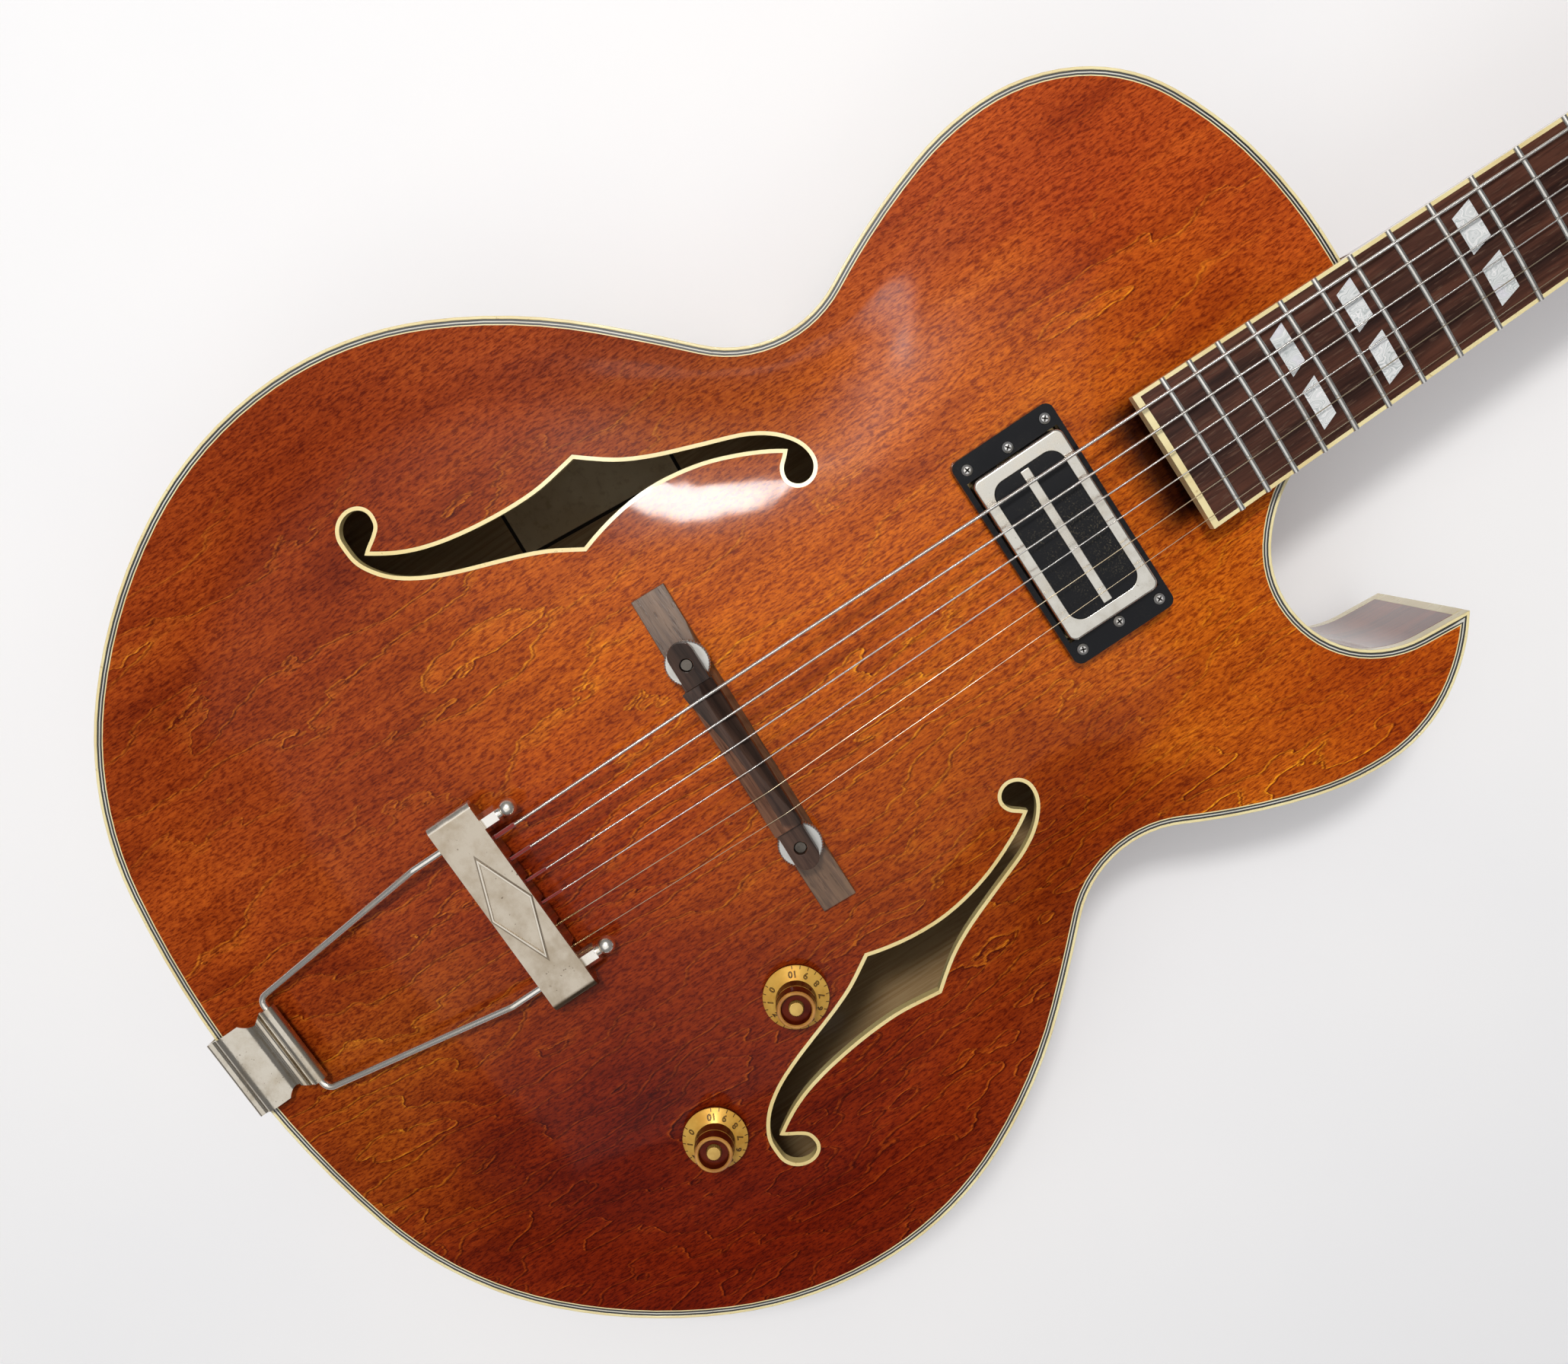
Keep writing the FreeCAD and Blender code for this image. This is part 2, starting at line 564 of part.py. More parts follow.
# The f-hole, drawn once for the treble side as shares of its length about its middle.
F_UPPER_LOBE_SHARES = [(-0.179, 0.466, 222.0), (-0.227, 0.427, 190.0), (-0.264, 0.459, 92.0),
                       (-0.225, 0.501, 5.0), (-0.172, 0.487, -33.0), (-0.115, 0.428, -58.0),
                       (-0.064, 0.306, -70.0), (-0.002, 0.153, -63.0), (0.078, 0.04, -50.0)]
F_OUTER_SHARES = [(0.078, 0.04, -100.0), (0.06, -0.1, -90.0), (0.076, -0.275, -80.0),
                  (0.113, -0.403, -66.0), (0.163, -0.488, -55.0)]
F_LOWER_LOBE_SHARES = [(0.163, -0.488, 47.0), (0.2, -0.438, 48.0), (0.231, -0.428, -2.0),
                       (0.265, -0.466, -90.0), (0.216, -0.515, 180.0), (0.146, -0.503, 152.0),
                       (0.081, -0.449, 128.0), (0.01, -0.31, 110.0), (-0.048, -0.153, 113.0),
                       (-0.105, -0.051, 122.0)]
F_INNER_SHARES = [(-0.105, -0.051, 72.0), (-0.0725, 0.125, 88.0), (-0.0875, 0.262, 103.0),
                  (-0.137, 0.395, 116.0), (-0.179, 0.466, 126.0)]


def f_hole(side):
    chain = []
    for shares in (F_UPPER_LOBE_SHARES, F_OUTER_SHARES, F_LOWER_LOBE_SHARES, F_INNER_SHARES):
        nodes = [(mm.f_hole_out + x * mm.f_hole_length, y * mm.f_hole_length - mm.f_hole_from_joint, a)
                 for x, y, a in shares]
        chain += run_of(nodes)
    if side > 0:
        return chain
    return [[(-q[0], q[1]), (-p[0], p[1]), None if c is None else (-c[0], c[1]), turn]
            for p, q, c, turn in reversed(chain)]


# Places that several pieces share.
FRET_AT_BODY = 14
FRETS = 20
saddle_line = -(mm.scale_length * 2 ** (-FRET_AT_BODY / 12) + mm.joint_past_fret)
nut_line = saddle_line + mm.scale_length
board_end = nut_line - mm.board_length
bridge_y = saddle_line - mm.bridge_behind
NECK_ANGLE = 3.15
HEAD_ANGLE = 14.0
neck_tilt = FreeCAD.Placement(V(0, 0, mm.board_rise), FreeCAD.Rotation(V(1, 0, 0), -NECK_ANGLE))
neck_place = frame.multiply(neck_tilt)
head_tilt = FreeCAD.Placement(V(0, nut_line + mm.nut_thickness, -mm.board_thickness),
                              FreeCAD.Rotation(V(1, 0, 0), -HEAD_ANGLE))
head_place = neck_place.multiply(head_tilt)
inside_board = mm.board_thickness * 3


def box(x0, x1, y0, y1, z0, z1):
    return Part.makeBox(x1 - x0, y1 - y0, z1 - z0, V(x0, y0, z0))


def rod(radius, start, end):
    return Part.makeCylinder(radius, start.distanceToPoint(end), start, end - start)


# Neck tenon and the mortise it fills.
tenon = box(-mm.tenon_half_width, mm.tenon_half_width, -mm.tenon_length, 0, -mm.tenon_depth,
            mm.board_rise / 2)

# Places of the controls on the top.
controls = [(mm.volume_out, saddle_line - mm.volume_behind), (mm.tone_out, saddle_line - mm.tone_behind)]
pickup_y = -mm.pickup_from_joint
opening_x = mm.cover_plan_length / 2 + mm.pickup_opening_gap
opening_y = mm.cover_plan_width / 2 + mm.pickup_opening_gap
pickup_opening = box(-opening_x, opening_x, pickup_y - opening_y, pickup_y + opening_y, -mm.rim_depth / 2,
                     mm.rim_depth / 2)
screw_x = mm.ring_length / 2 - mm.screw_inset
screw_y = mm.ring_width / 2 - mm.screw_inset
screw_places = [(side * screw_x, pickup_y + end * screw_y) for side in (-1, 1) for end in (-1, 1)]
lug_x = mm.ring_length / 2
lug_opening = box(-lug_x, lug_x, pickup_y - mm.lug_half_width - mm.cover_gap,
                  pickup_y + mm.lug_half_width + mm.cover_gap, -mm.rim_depth / 2, mm.rim_depth / 2)

# Top, back, rim and everything glued to their edges.
jack_at = V(mm.bout_half_width, SIDE_SHARES[2][1] * mm.body_length, -mm.jack_height)
jack_hole = rod(mm.jack_sleeve_radius, jack_at - V(mm.jack_inside, 0, 0), jack_at + V(mm.jack_outside, 0, 0))
pin_hole = rod(mm.pin_radius * 0.5, V(0, -mm.body_length + mm.pin_hidden, -mm.pin_height),
               V(0, -mm.body_length - mm.pin_hidden, -mm.pin_height))
line_widths = [mm.black_line_width, mm.white_line_width, mm.black_line_width, mm.inner_line_width]
inside_edge = shifted(outline, mm.binding_width)
purfling_edge = shifted(outline, mm.binding_width + sum(line_widths))
channel = prism(inside_edge, -mm.purfling_depth, mm.rim_depth).cut(
    prism(purfling_edge, -mm.purfling_depth, mm.rim_depth))
sound_holes = [shifted(f_hole(side), mm.f_hole_binding) for side in (1, -1)]

plate = top_skin.extrude(V(0, 0, -mm.plate_thickness))
plate = plate.common(prism(inside_edge, -mm.rim_depth, mm.rim_depth)).cut(channel)
for hole in sound_holes:
    plate = plate.cut(prism(hole, -mm.rim_depth / 2, mm.rim_depth / 2))
plate = plate.cut([pickup_opening, lug_opening, tenon])
for radius, places in ((mm.pot_sleeve_radius, controls), (mm.screw_radius, screw_places)):
    for x, y in places:
        plate = plate.cut(rod(radius, V(x, y, -mm.rim_depth / 2), V(x, y, mm.rim_depth / 2)))
add("top_plate", plate)

slab = back_skin.extrude(V(0, 0, mm.plate_thickness))
add("back_plate", slab.common(prism(inside_edge, -2 * mm.rim_depth, 0)))

low_edge, high_edge = -mm.rim_depth, 0.0
rim_low, rim_high = low_edge + mm.plate_thickness, high_edge - mm.plate_thickness
wall_edge = shifted(outline, mm.rim_wall)
band = prism(outline, low_edge, high_edge).cut(prism(inside_edge, low_edge, high_edge))
horn_zone = rod(mm.horn_strip_reach, V(*horn_tip[:2], low_edge), V(*horn_tip[:2], high_edge))
between = box(-mm.body_length, mm.body_length, -mm.body_length, mm.body_length, low_edge + mm.binding_height,
              high_edge - mm.binding_height)
horn_strip = band.common(horn_zone).common(between)
top_band = prism(outline, high_edge - mm.binding_height, high_edge).cut(
    prism(inside_edge, high_edge - mm.binding_height, high_edge))
back_band = prism(outline, low_edge, low_edge + mm.binding_height).cut(
    prism(inside_edge, low_edge, low_edge + mm.binding_height))
rim = prism(outline, rim_low, rim_high).cut(prism(wall_edge, rim_low, rim_high))
rim = rim.cut([top_band, back_band, horn_strip, tenon, jack_hole, pin_hole])
# The sides are bent from three strips, which meet at the neck, at the tail and on the point of the horn.
far = mm.body_length
bass_zone = box(-far, 0, -2 * far, far, low_edge, high_edge)
cutaway_zone = box(0, horn_tip[0], -far / 2, far, low_edge, high_edge)
strips = [rim.common(bass_zone), rim.common(cutaway_zone), rim.cut([bass_zone, cutaway_zone])]
add("rim", Part.makeCompound([solid for strip in strips for solid in strip.Solids]))
add("top_binding", top_band.cut(tenon))
add("back_binding", back_band)
add("horn_binding", horn_strip)

lines = []
offset = mm.binding_width
for width in line_widths:
    outer = prism(shifted(outline, offset), -mm.purfling_depth, high_edge)
    offset += width
    lines.append(outer.cut(prism(shifted(outline, offset), -mm.purfling_depth, high_edge)).cut(tenon))
add("top_purfling", Part.makeCompound([solid for line in lines for solid in line.Solids]))

rings = []
for side, hole in zip((1, -1), sound_holes):
    low, high = -mm.rim_depth / 2, mm.rim_depth / 2
    ring = prism(hole, low, high).cut(prism(f_hole(side), low, high))
    rings.append(ring.common(top_skin.extrude(V(0, 0, -mm.plate_thickness))))
add("f_hole_bindings", Part.makeCompound([solid for ring in rings for solid in ring.Solids]))

# Blocks, linings and braces inside the body.
cavity = prism(wall_edge, low_edge - mm.back_arch, mm.top_arch)
neck_room = box(-mm.neck_block_half_width, cutaway_end[0], -mm.neck_block_length, 0, low_edge * 2,
                mm.top_arch)
tail_room = box(-mm.tail_block_half_width, mm.tail_block_half_width, -mm.body_length,
                mm.tail_block_length - mm.body_length, low_edge * 2, mm.top_arch)
add("neck_block", cavity.common(neck_room).common(below_plate).common(above_back).cut(tenon))
add("tail_block", cavity.common(tail_room).common(below_plate).common(above_back).cut(pin_hole))
lining_edge = shifted(outline, mm.rim_wall + mm.lining_width)
kerfed = []
for low, high in ((rim_high - mm.lining_height, rim_high), (rim_low, rim_low + mm.lining_height)):
    strip = prism(wall_edge, low, high).cut(prism(lining_edge, low, high))
    kerfed += strip.cut([neck_room, tail_room]).Solids
add("linings", Part.makeCompound(kerfed))
layer = moved(top_skin, 0, 0, -mm.plate_thickness).extrude(V(0, 0, -mm.tone_bar_height))
bars = []
for side in (-1, 1):
    x, y = side * mm.tone_bar_spread, -mm.tone_bar_from_joint
    bars.append(layer.common(box(x - mm.tone_bar_width / 2, x + mm.tone_bar_width / 2,
                                 y - mm.tone_bar_length / 2, y + mm.tone_bar_length / 2,
                                 low_edge, mm.top_arch)))
add("tone_bars", Part.makeCompound([bar.Solids[0] for bar in bars]))

# Fingerboard, its binding, frets and inlays, in the tilted frame of the neck.


def board_half(y):
    share = (nut_line - y) / mm.board_length
    return (mm.board_nut_width + share * (mm.board_end_width - mm.board_nut_width)) / 2


def board_prism(inset, end, low, high):
    start = board_end + end
    wide, slim = board_half(start) - inset, board_half(nut_line) - inset
    corners = [V(-wide, start, low), V(wide, start, low), V(slim, nut_line, low), V(-slim, nut_line, low)]
    return Part.Face(Part.makePolygon(corners + corners[:1])).extrude(V(0, 0, high - low))


crown_round = rod(mm.board_radius, V(0, board_end - mm.board_length, -mm.board_radius),
                  V(0, nut_line + mm.board_length, -mm.board_radius))
blank = board_prism(0, 0, -mm.board_thickness, mm.board_thickness).common(crown_round)
core = blank.common(board_prism(mm.board_binding, mm.board_end_binding, -mm.board_thickness,
                                mm.board_thickness))


def fret_line(fret):
    return saddle_line + mm.scale_length * 2 ** (-fret / 12)


def bent_strip(profile, half_width):
    """A profile in the y-z plane swept across the board along its cross curve."""
    angle = math.degrees(math.asin(half_width / mm.board_radius))
    axis = V(0, 0, -mm.board_radius)
    start = profile.copy()
    start.rotate(axis, V(0, 1, 0), -angle)
    return start.revolve(axis, V(0, 1, 0), 2 * angle)


crowns = []
tangs = []
for fret in range(1, FRETS + 1):
    y = fret_line(fret)
    half = mm.fret_width / 2
    bow = Part.Arc(V(0, y - half, 0), V(0, y, mm.fret_height), V(0, y + half, 0)).toShape()
    foot = Part.LineSegment(V(0, y + half, 0), V(0, y - half, 0)).toShape()
    crowns.append(bent_strip(Part.Face(Part.Wire([bow, foot])), board_half(y)))
    slim = mm.tang_width / 2
    corners = [V(0, y - slim, -mm.tang_depth), V(0, y + slim, -mm.tang_depth), V(0, y + slim, 0),
               V(0, y - slim, 0)]
    tangs.append(bent_strip(Part.Face(Part.makePolygon(corners + corners[:1])),
                            board_half(y) - mm.board_binding * 1.5))

INLAY_FRETS = [1, 3, 5, 7, 9, 12, 15, 17]
INLAY_LENGTH_SHARE = 0.49
INLAY_WIDTH_SHARE = 0.292
INLAY_GAP_SHARE = 0.118
INLAY_SLANT_SHARE = 0.05
pearl = []
pockets = []
for fret in INLAY_FRETS:
    near, far = fret_line(fret), fret_line(fret - 1)
    middle, half = (near + far) / 2, (far - near) * INLAY_LENGTH_SHARE / 2
    wide = 2 * board_half(middle)
    for side in (-1, 1):
        inner = side * wide * INLAY_GAP_SHARE / 2
        outer = inner + side * wide * INLAY_WIDTH_SHARE
        slant = wide * INLAY_SLANT_SHARE / 2
        corners = [V(x + turn * slant, middle - turn * half, -mm.inlay_depth)
                   for x, turn in ((inner, 1), (outer, 1), (outer, -1), (inner, -1))]
        pocket = Part.Face(Part.makePolygon(corners + corners[:1])).extrude(V(0, 0, mm.board_thickness))
        pockets.append(pocket)
        pearl += blank.common(pocket).Solids
add("fingerboard", core.cut(tangs).cut(pockets), neck_place)
add("fingerboard_binding", blank.cut(core), neck_place)
add("frets", Part.makeCompound([crown.fuse(tang) for crown, tang in zip(crowns, tangs)]), neck_place)
add("position_inlays", Part.makeCompound(pearl), neck_place)

# Strings: positions at the tailpiece, the saddle, the nut and the tuner posts.
STRINGS = 6


def string_share(index):
    """From -1 at the sixth string to +1 at the first."""
    return -1 + 2 * index / (STRINGS - 1)


def string_radius(index):
    share = index / (STRINGS - 1)
    return mm.string_thickest / 2 * (mm.string_thinnest / mm.string_thickest) ** share


def from_neck(x, y, z):
    return neck_tilt.multVec(V(x, y, z))


def from_head(x, y, z):
    return neck_tilt.multVec(head_tilt.multVec(V(x, y, z)))


def bow_drop(x):
    return mm.board_radius - math.sqrt(mm.board_radius ** 2 - x ** 2)


SKEW = math.tan(math.radians(mm.bridge_skew_angle))


def saddle_point(index):
    """Underside of a string where it leaves the saddle."""
    x = string_share(index) * mm.saddle_span / 2
    base = from_neck(0, saddle_line, mm.fret_height + mm.string_action)
    y = bridge_y + (x - mm.bridge_shift) * SKEW
    return V(x, y, base.z - bow_drop(x))


def nut_point(index):
    x = string_share(index) * mm.nut_span / 2
    return from_neck(x, nut_line, mm.fret_height + mm.nut_action - bow_drop(x))


saddle_top = from_neck(0, saddle_line, mm.fret_height + mm.string_action).z
# Tuner posts: three on each side, counted from the sixth string around to the first.
tuners = []
for index in range(STRINGS):
    bass = index < STRINGS / 2
    row_of_pair = index if bass else STRINGS - 1 - index
    side = -1 if bass else 1
    tuners.append((side, side * (mm.tuner_out + row_of_pair * mm.tuner_fan),
                   mm.tuner_first + row_of_pair * mm.tuner_pitch))

bar_front = saddle_line - mm.bar_front_behind
bar_middle_z = mm.bar_top - mm.bar_height / 2
string_floor = mm.veneer_thickness + mm.post_rise * 0.45
ball_back = math.sqrt(mm.ball_radius ** 2 - (mm.plate_slot / 2) ** 2)
wires, string_ends = [], []
for index in range(STRINGS):
    radius = string_radius(index)
    lift = V(0, 0, radius)
    start = V(string_share(index) * mm.tail_span / 2, bar_front - mm.bar_wall - ball_back, bar_middle_z)
    over = saddle_point(index) + lift
    nut = nut_point(index) + lift
    side, post_x, post_y = tuners[index]
    end = from_head(post_x - side * (mm.post_radius + mm.string_gap + radius), post_y, string_floor)
    string_ends.append(end)
    shape = Part.makeSphere(mm.ball_radius, start)
    for a, b in ((start, over), (over, nut), (nut, end)):
        shape = shape.fuse(rod(radius, a, b))
    shape = shape.fuse([Part.makeSphere(radius, over), Part.makeSphere(radius, nut)])
    wires.append(shape)
add("strings", Part.makeCompound(wires))

# Nut with a slot for every string.
nut_blank = box(-mm.board_nut_width / 2, mm.board_nut_width / 2, nut_line, nut_line + mm.nut_thickness,
                -mm.board_thickness, mm.board_thickness)
nut_round = rod(mm.board_radius + mm.nut_rise, V(0, nut_line - mm.board_length, -mm.board_radius),
                V(0, nut_line + mm.board_length, -mm.board_radius))
slots = []
for index in range(STRINGS):
    a = neck_tilt.inverse().multVec(nut_point(index))
    b = neck_tilt.inverse().multVec(string_ends[index])
    reach = string_radius(index) + mm.slot_clearance
    line = rod(reach, a + V(0, 0, string_radius(index)) - (b - a) * 0.1, b)
    slots.append(line)
    slots.append(box(a.x - reach, a.x + reach, nut_line - mm.nut_thickness, nut_line + 2 * mm.nut_thickness,
                     a.z + string_radius(index), mm.board_thickness))
add("nut", nut_blank.common(nut_round).cut(slots), neck_place)

# Neck: shaft and heel in one loft, the tongue under the fingerboard, the tenon and the headstock.
SECTION_POINTS = 12
SECTION_POWER = 0.86


def neck_section(y, half, deep):
    points = []
    for k in range(SECTION_POINTS + 1):
        turn = math.pi * k / SECTION_POINTS
        fall = deep * math.sin(turn) ** SECTION_POWER
        points.append(V(half * math.cos(turn), y, -mm.board_thickness - fall))
    curve = Part.BSplineCurve()
    curve.interpolate(points)
    return Part.Wire([curve.toShape(), Part.LineSegment(points[-1], points[0]).toShape()])


HEEL_SECTIONS = 9
HEEL_POWER = 2.4
HEEL_END_SHARE = -0.16
half_way = nut_line - mm.board_length * 0.3
sections = [neck_section(nut_line + mm.nut_thickness, mm.board_nut_width / 2, mm.neck_depth_nut),
            neck_section(half_way, board_half(half_way), mm.neck_depth_middle),
            neck_section(mm.heel_run, board_half(mm.heel_run), mm.neck_depth_heel)]
shaft = Part.makeLoft(sections, True, True)
sections = []
for k in range(HEEL_SECTIONS):
    share = k / (HEEL_SECTIONS - 1)
    y = mm.heel_run * (1 - share * (1 - HEEL_END_SHARE))
    fall = (mm.heel_depth - mm.neck_depth_heel) * share ** HEEL_POWER
    sections.append(neck_section(y, board_half(y), mm.neck_depth_heel + fall))
heel = Part.makeLoft(sections, True, False)
shaft = shaft.fuse(heel)
shaft.Placement = neck_tilt
reach = mm.body_length
shaft = shaft.cut(box(-reach, reach, -reach, 0, -reach, reach))
shaft = shaft.cut(box(-reach, reach, -reach, reach, -reach, mm.heel_lift - mm.rim_depth))

tongue = board_prism(mm.extension_inset, mm.extension_overhang, -inside_board, -mm.board_thickness)
tongue.Placement = neck_tilt
tongue = tongue.common(box(-reach, reach, -reach, 0, -reach, reach)).cut(below_top)

head_start = mm.board_nut_width / 2 / mm.head_half_width
HEAD_SIDE_SHARES = [(head_start, 0.0, 90.0), (0.9, 0.25, 79.0), (1.0, 0.86, 90.0)]
HEAD_CROWN_SHARES = [(1.0, 0.86, 128.0), (0.5, 0.965, 171.0), (0.0, 1.0, 180.0)]


def head_nodes(shares):
    return [(x * mm.head_half_width, y * mm.head_length, a) for x, y, a in shares]


crown_nodes = head_nodes(HEAD_CROWN_SHARES)
head_outline = run_of(head_nodes(HEAD_SIDE_SHARES)) + run_of(crown_nodes) + run_of(mirrored(crown_nodes))
head_outline += run_of(mirrored(head_nodes(HEAD_SIDE_SHARES)))
head_outline += [[head_outline[-1][1], head_outline[0][0], None, 0]]
post_holes = [rod(mm.bushing_radius, V(x, y, -2 * mm.head_thickness), V(x, y, 2 * mm.head_thickness))
              for side, x, y in tuners]
rod_pocket = box(-mm.rod_width * 0.75, mm.rod_width * 0.75, mm.veneer_thickness / 2, mm.cover_length * 0.55,
                 -mm.head_thickness / 2, mm.head_thickness)
head = prism(head_outline, -mm.head_thickness, 0).cut(post_holes + [rod_pocket])
head.Placement = neck_tilt.multiply(head_tilt)
rod_y = (-mm.tenon_length * 0.6, nut_line + mm.nut_thickness + mm.cover_length * 0.3)
rod_z = -mm.board_thickness - mm.rod_depth / 2
groove = box(-mm.rod_width / 2, mm.rod_width / 2, rod_y[0], nut_line + mm.nut_thickness,
             -mm.board_thickness - mm.rod_depth, -mm.board_thickness)
groove.Placement = neck_tilt
bar_room = rod(mm.rod_width / 2, V(0, rod_y[0], rod_z), V(0, rod_y[1], rod_z))
bar_room.Placement = neck_tilt
add("neck", shaft.fuse([tongue, tenon, head]).removeSplitter().cut([groove, bar_room]))
add("truss_rod", rod(mm.rod_width / 2, V(0, rod_y[0], rod_z), V(0, rod_y[1], rod_z)), neck_place)
veneer = prism(head_outline, 0, mm.veneer_thickness).cut(post_holes + [rod_pocket])
add("headstock_veneer", veneer, head_place)

COVER_SHARES = [(1.0, 0.0), (1.0, 0.12), (0.42, 0.62), (0.18, 1.0),
                (-0.18, 1.0), (-0.42, 0.62), (-1.0, 0.12), (-1.0, 0.0)]
COVER_START_SHARE = 0.06
corners = [V(x * mm.cover_half_width, (y + COVER_START_SHARE) * mm.cover_length, mm.veneer_thickness)
           for x, y in COVER_SHARES]
rod_cover = Part.Face(Part.makePolygon(corners + corners[:1])).extrude(V(0, 0, mm.cover_thickness))
add("truss_rod_cover", rod_cover, head_place)

# Tuners: housings and bushings stay, posts with worm wheels and keys with worms turn.
housings = []
bushings = []
housing_top = -mm.head_thickness
key_z = housing_top - mm.housing_height / 2
for index, (side, x, y) in enumerate(tuners):
    sleeve = rod(mm.bushing_radius, V(x, y, -mm.head_thickness), V(x, y, mm.veneer_thickness))
    flange = rod(mm.bushing_flange_radius, V(x, y, mm.veneer_thickness),
                 V(x, y, mm.veneer_thickness + mm.bushing_flange_height))
    bore = rod(mm.post_radius + mm.post_clearance, V(x, y, -2 * mm.head_thickness),
               V(x, y, mm.head_thickness))
    bushings.append(sleeve.fuse(flange).cut(bore).removeSplitter())
    key_y = y - mm.worm_offset
    y0 = (y + key_y) / 2 - mm.housing_length / 2
    x0 = x - mm.housing_width / 2
    wall = mm.housing_wall
    housing_low = housing_top - mm.housing_height
    shell = box(x0, x0 + mm.housing_width, y0, y0 + mm.housing_length, housing_low, housing_top)
    hollow = box(x0 + wall, x0 + mm.housing_width - wall, y0 + wall, y0 + mm.housing_length - wall,
                 housing_low + wall, housing_top)
    key_hole = rod(mm.key_shaft_radius + mm.post_clearance, V(x, key_y, key_z),
                   V(x + side * mm.key_reach, key_y, key_z))
    housings.append(shell.cut([hollow, key_hole]))
    post_low = housing_low + wall * 1.6
    post = rod(mm.post_radius, V(x, y, post_low), V(x, y, mm.veneer_thickness + mm.post_rise))
    eye = rod(mm.post_radius * 0.3, V(x - mm.post_radius * 2, y, string_floor),
              V(x + mm.post_radius * 2, y, string_floor))
    post = post.cut(eye)
    wheel_low = key_z - mm.gear_height / 2
    wheel = rod(mm.gear_radius, V(x, y, wheel_low), V(x, y, wheel_low + mm.gear_height)).cut(
        rod(mm.post_radius, V(x, y, wheel_low), V(x, y, wheel_low + mm.gear_height)))
    add("tuner_post_%d" % (STRINGS - index), Part.makeCompound([post, wheel]), head_place)
    inner = mm.housing_width / 2 - wall * 1.3
    out = V(side, 0, 0)
    worm_at = V(x, key_y, key_z)
    worm = rod(mm.worm_radius, worm_at - out * inner, worm_at + out * inner)
    stem = rod(mm.key_shaft_radius, worm_at + out * inner, worm_at + out * mm.key_reach)
    middle = worm_at + out * (mm.key_reach + mm.button_length / 2)
    oval = Part.Wire([Part.Ellipse(V(0, 0, 0), mm.button_width / 2, mm.button_length / 2).toShape()])
    button = Part.Face(oval).extrude(V(0, 0, mm.button_thickness))
    rims = [edge for edge in button.Edges if edge.BoundBox.ZLength < 1e-6]
    button = button.makeFillet(mm.button_thickness * 0.32, rims)
    button.translate(V(0, 0, -mm.button_thickness / 2))
    button.rotate(V(0, 0, 0), V(0, 0, 1), 90)
    button.translate(middle)
    key = Part.makeCompound([worm.fuse(stem).removeSplitter(), button.cut(stem)])
    add("tuner_key_%d" % (STRINGS - index), key, head_place)
add("tuner_housings", Part.makeCompound(housings), head_place)
add("tuner_bushings", Part.makeCompound(bushings), head_place)


# Bodies drawn with sketches that are bound to the sheet.


def new_body(label):
    return doc.addObject("PartDesign::Body", label)


def new_sketch(body, plane, level=None):
    sketch = body.newObject("Sketcher::SketchObject", "%s_sketch" % body.Name)
    names = ["X_Axis", "Y_Axis", "Z_Axis", "XY_Plane", "XZ_Plane", "YZ_Plane"]
    sketch.AttachmentSupport = (body.Origin.OriginFeatures[names.index(plane)], [""])
    sketch.MapMode = "FlatFace"
    if level is not None:
        bind(sketch, "AttachmentOffset.Base.z", level)
    return sketch


def pin_point(sketch, line, end, x, y):
    """Hold one end of a line, or the centre of a circle, at bound coordinates."""
    for axis, kind, dim in ((-2, "DistanceX", x), (-1, "DistanceY", y)):
        if dim.text == "0":
            sketch.addConstraint(Sketcher.Constraint("PointOnObject", line, end, axis))
        else:
            index = sketch.addConstraint(Sketcher.Constraint(kind, -1, 1, line, end, dim.value))
            bind(sketch, "Constraints[%d]" % index, dim)


def draw_polygon(sketch, points):
    first = sketch.GeometryCount
    count = len(points)
    for k in range(count):
        a, b = [V(x.value, y.value, 0) for x, y in (points[k], points[(k + 1) % count])]
        sketch.addGeometry(Part.LineSegment(a, b), False)
    for k in range(count):
        sketch.addConstraint(Sketcher.Constraint("Coincident", first + k, 2, first + (k + 1) % count, 1))
    for k, (x, y) in enumerate(points):
        pin_point(sketch, first + k, 1, x, y)


def draw_circle(sketch, x, y, radius):
    index = sketch.addGeometry(Part.Circle(V(x.value, y.value, 0), V(0, 0, 1), radius.value), False)
    pin_point(sketch, index, 3, x, y)
    datum = sketch.addConstraint(Sketcher.Constraint("Radius", index, radius.value))
    bind(sketch, "Constraints[%d]" % datum, radius)


def draw_rectangle(sketch, x0, x1, y0, y1):
    draw_polygon(sketch, [(x0, y0), (x1, y0), (x1, y1), (x0, y1)])


def pad(body, sketch, length, both=False, back=False):
    feature = body.newObject("PartDesign::Pad", "%s_pad" % body.Name)
    feature.Profile = sketch
    bind(feature, "Length", length)
    feature.SideType = "Symmetric" if both else "One side"
    feature.Reversed = back
    doc.recompute()
    return feature


def pocket(body, sketch, length=None, back=False):
    before = body.Shape.Volume
    feature = body.newObject("PartDesign::Pocket", "%s_pocket" % body.Name)
    feature.Profile = sketch
    if length is None:
        feature.Type = "ThroughAll"
        feature.SideType = "Symmetric"
    else:
        bind(feature, "Length", length)
        feature.Reversed = back
    doc.recompute()
    if not body.Shape.Volume < before:
        raise RuntimeError("a pocket of %s cuts nothing" % body.Name)
    return feature


def fillet(body, radius, choose):
    last = body.Tip
    names = ["Edge%d" % (k + 1) for k, edge in enumerate(last.Shape.Edges) if choose(edge)]
    feature = body.newObject("PartDesign::Fillet", "%s_fillet" % body.Name)
    feature.Base = (last, names)
    bind(feature, "Radius", radius)
    doc.recompute()
    return feature


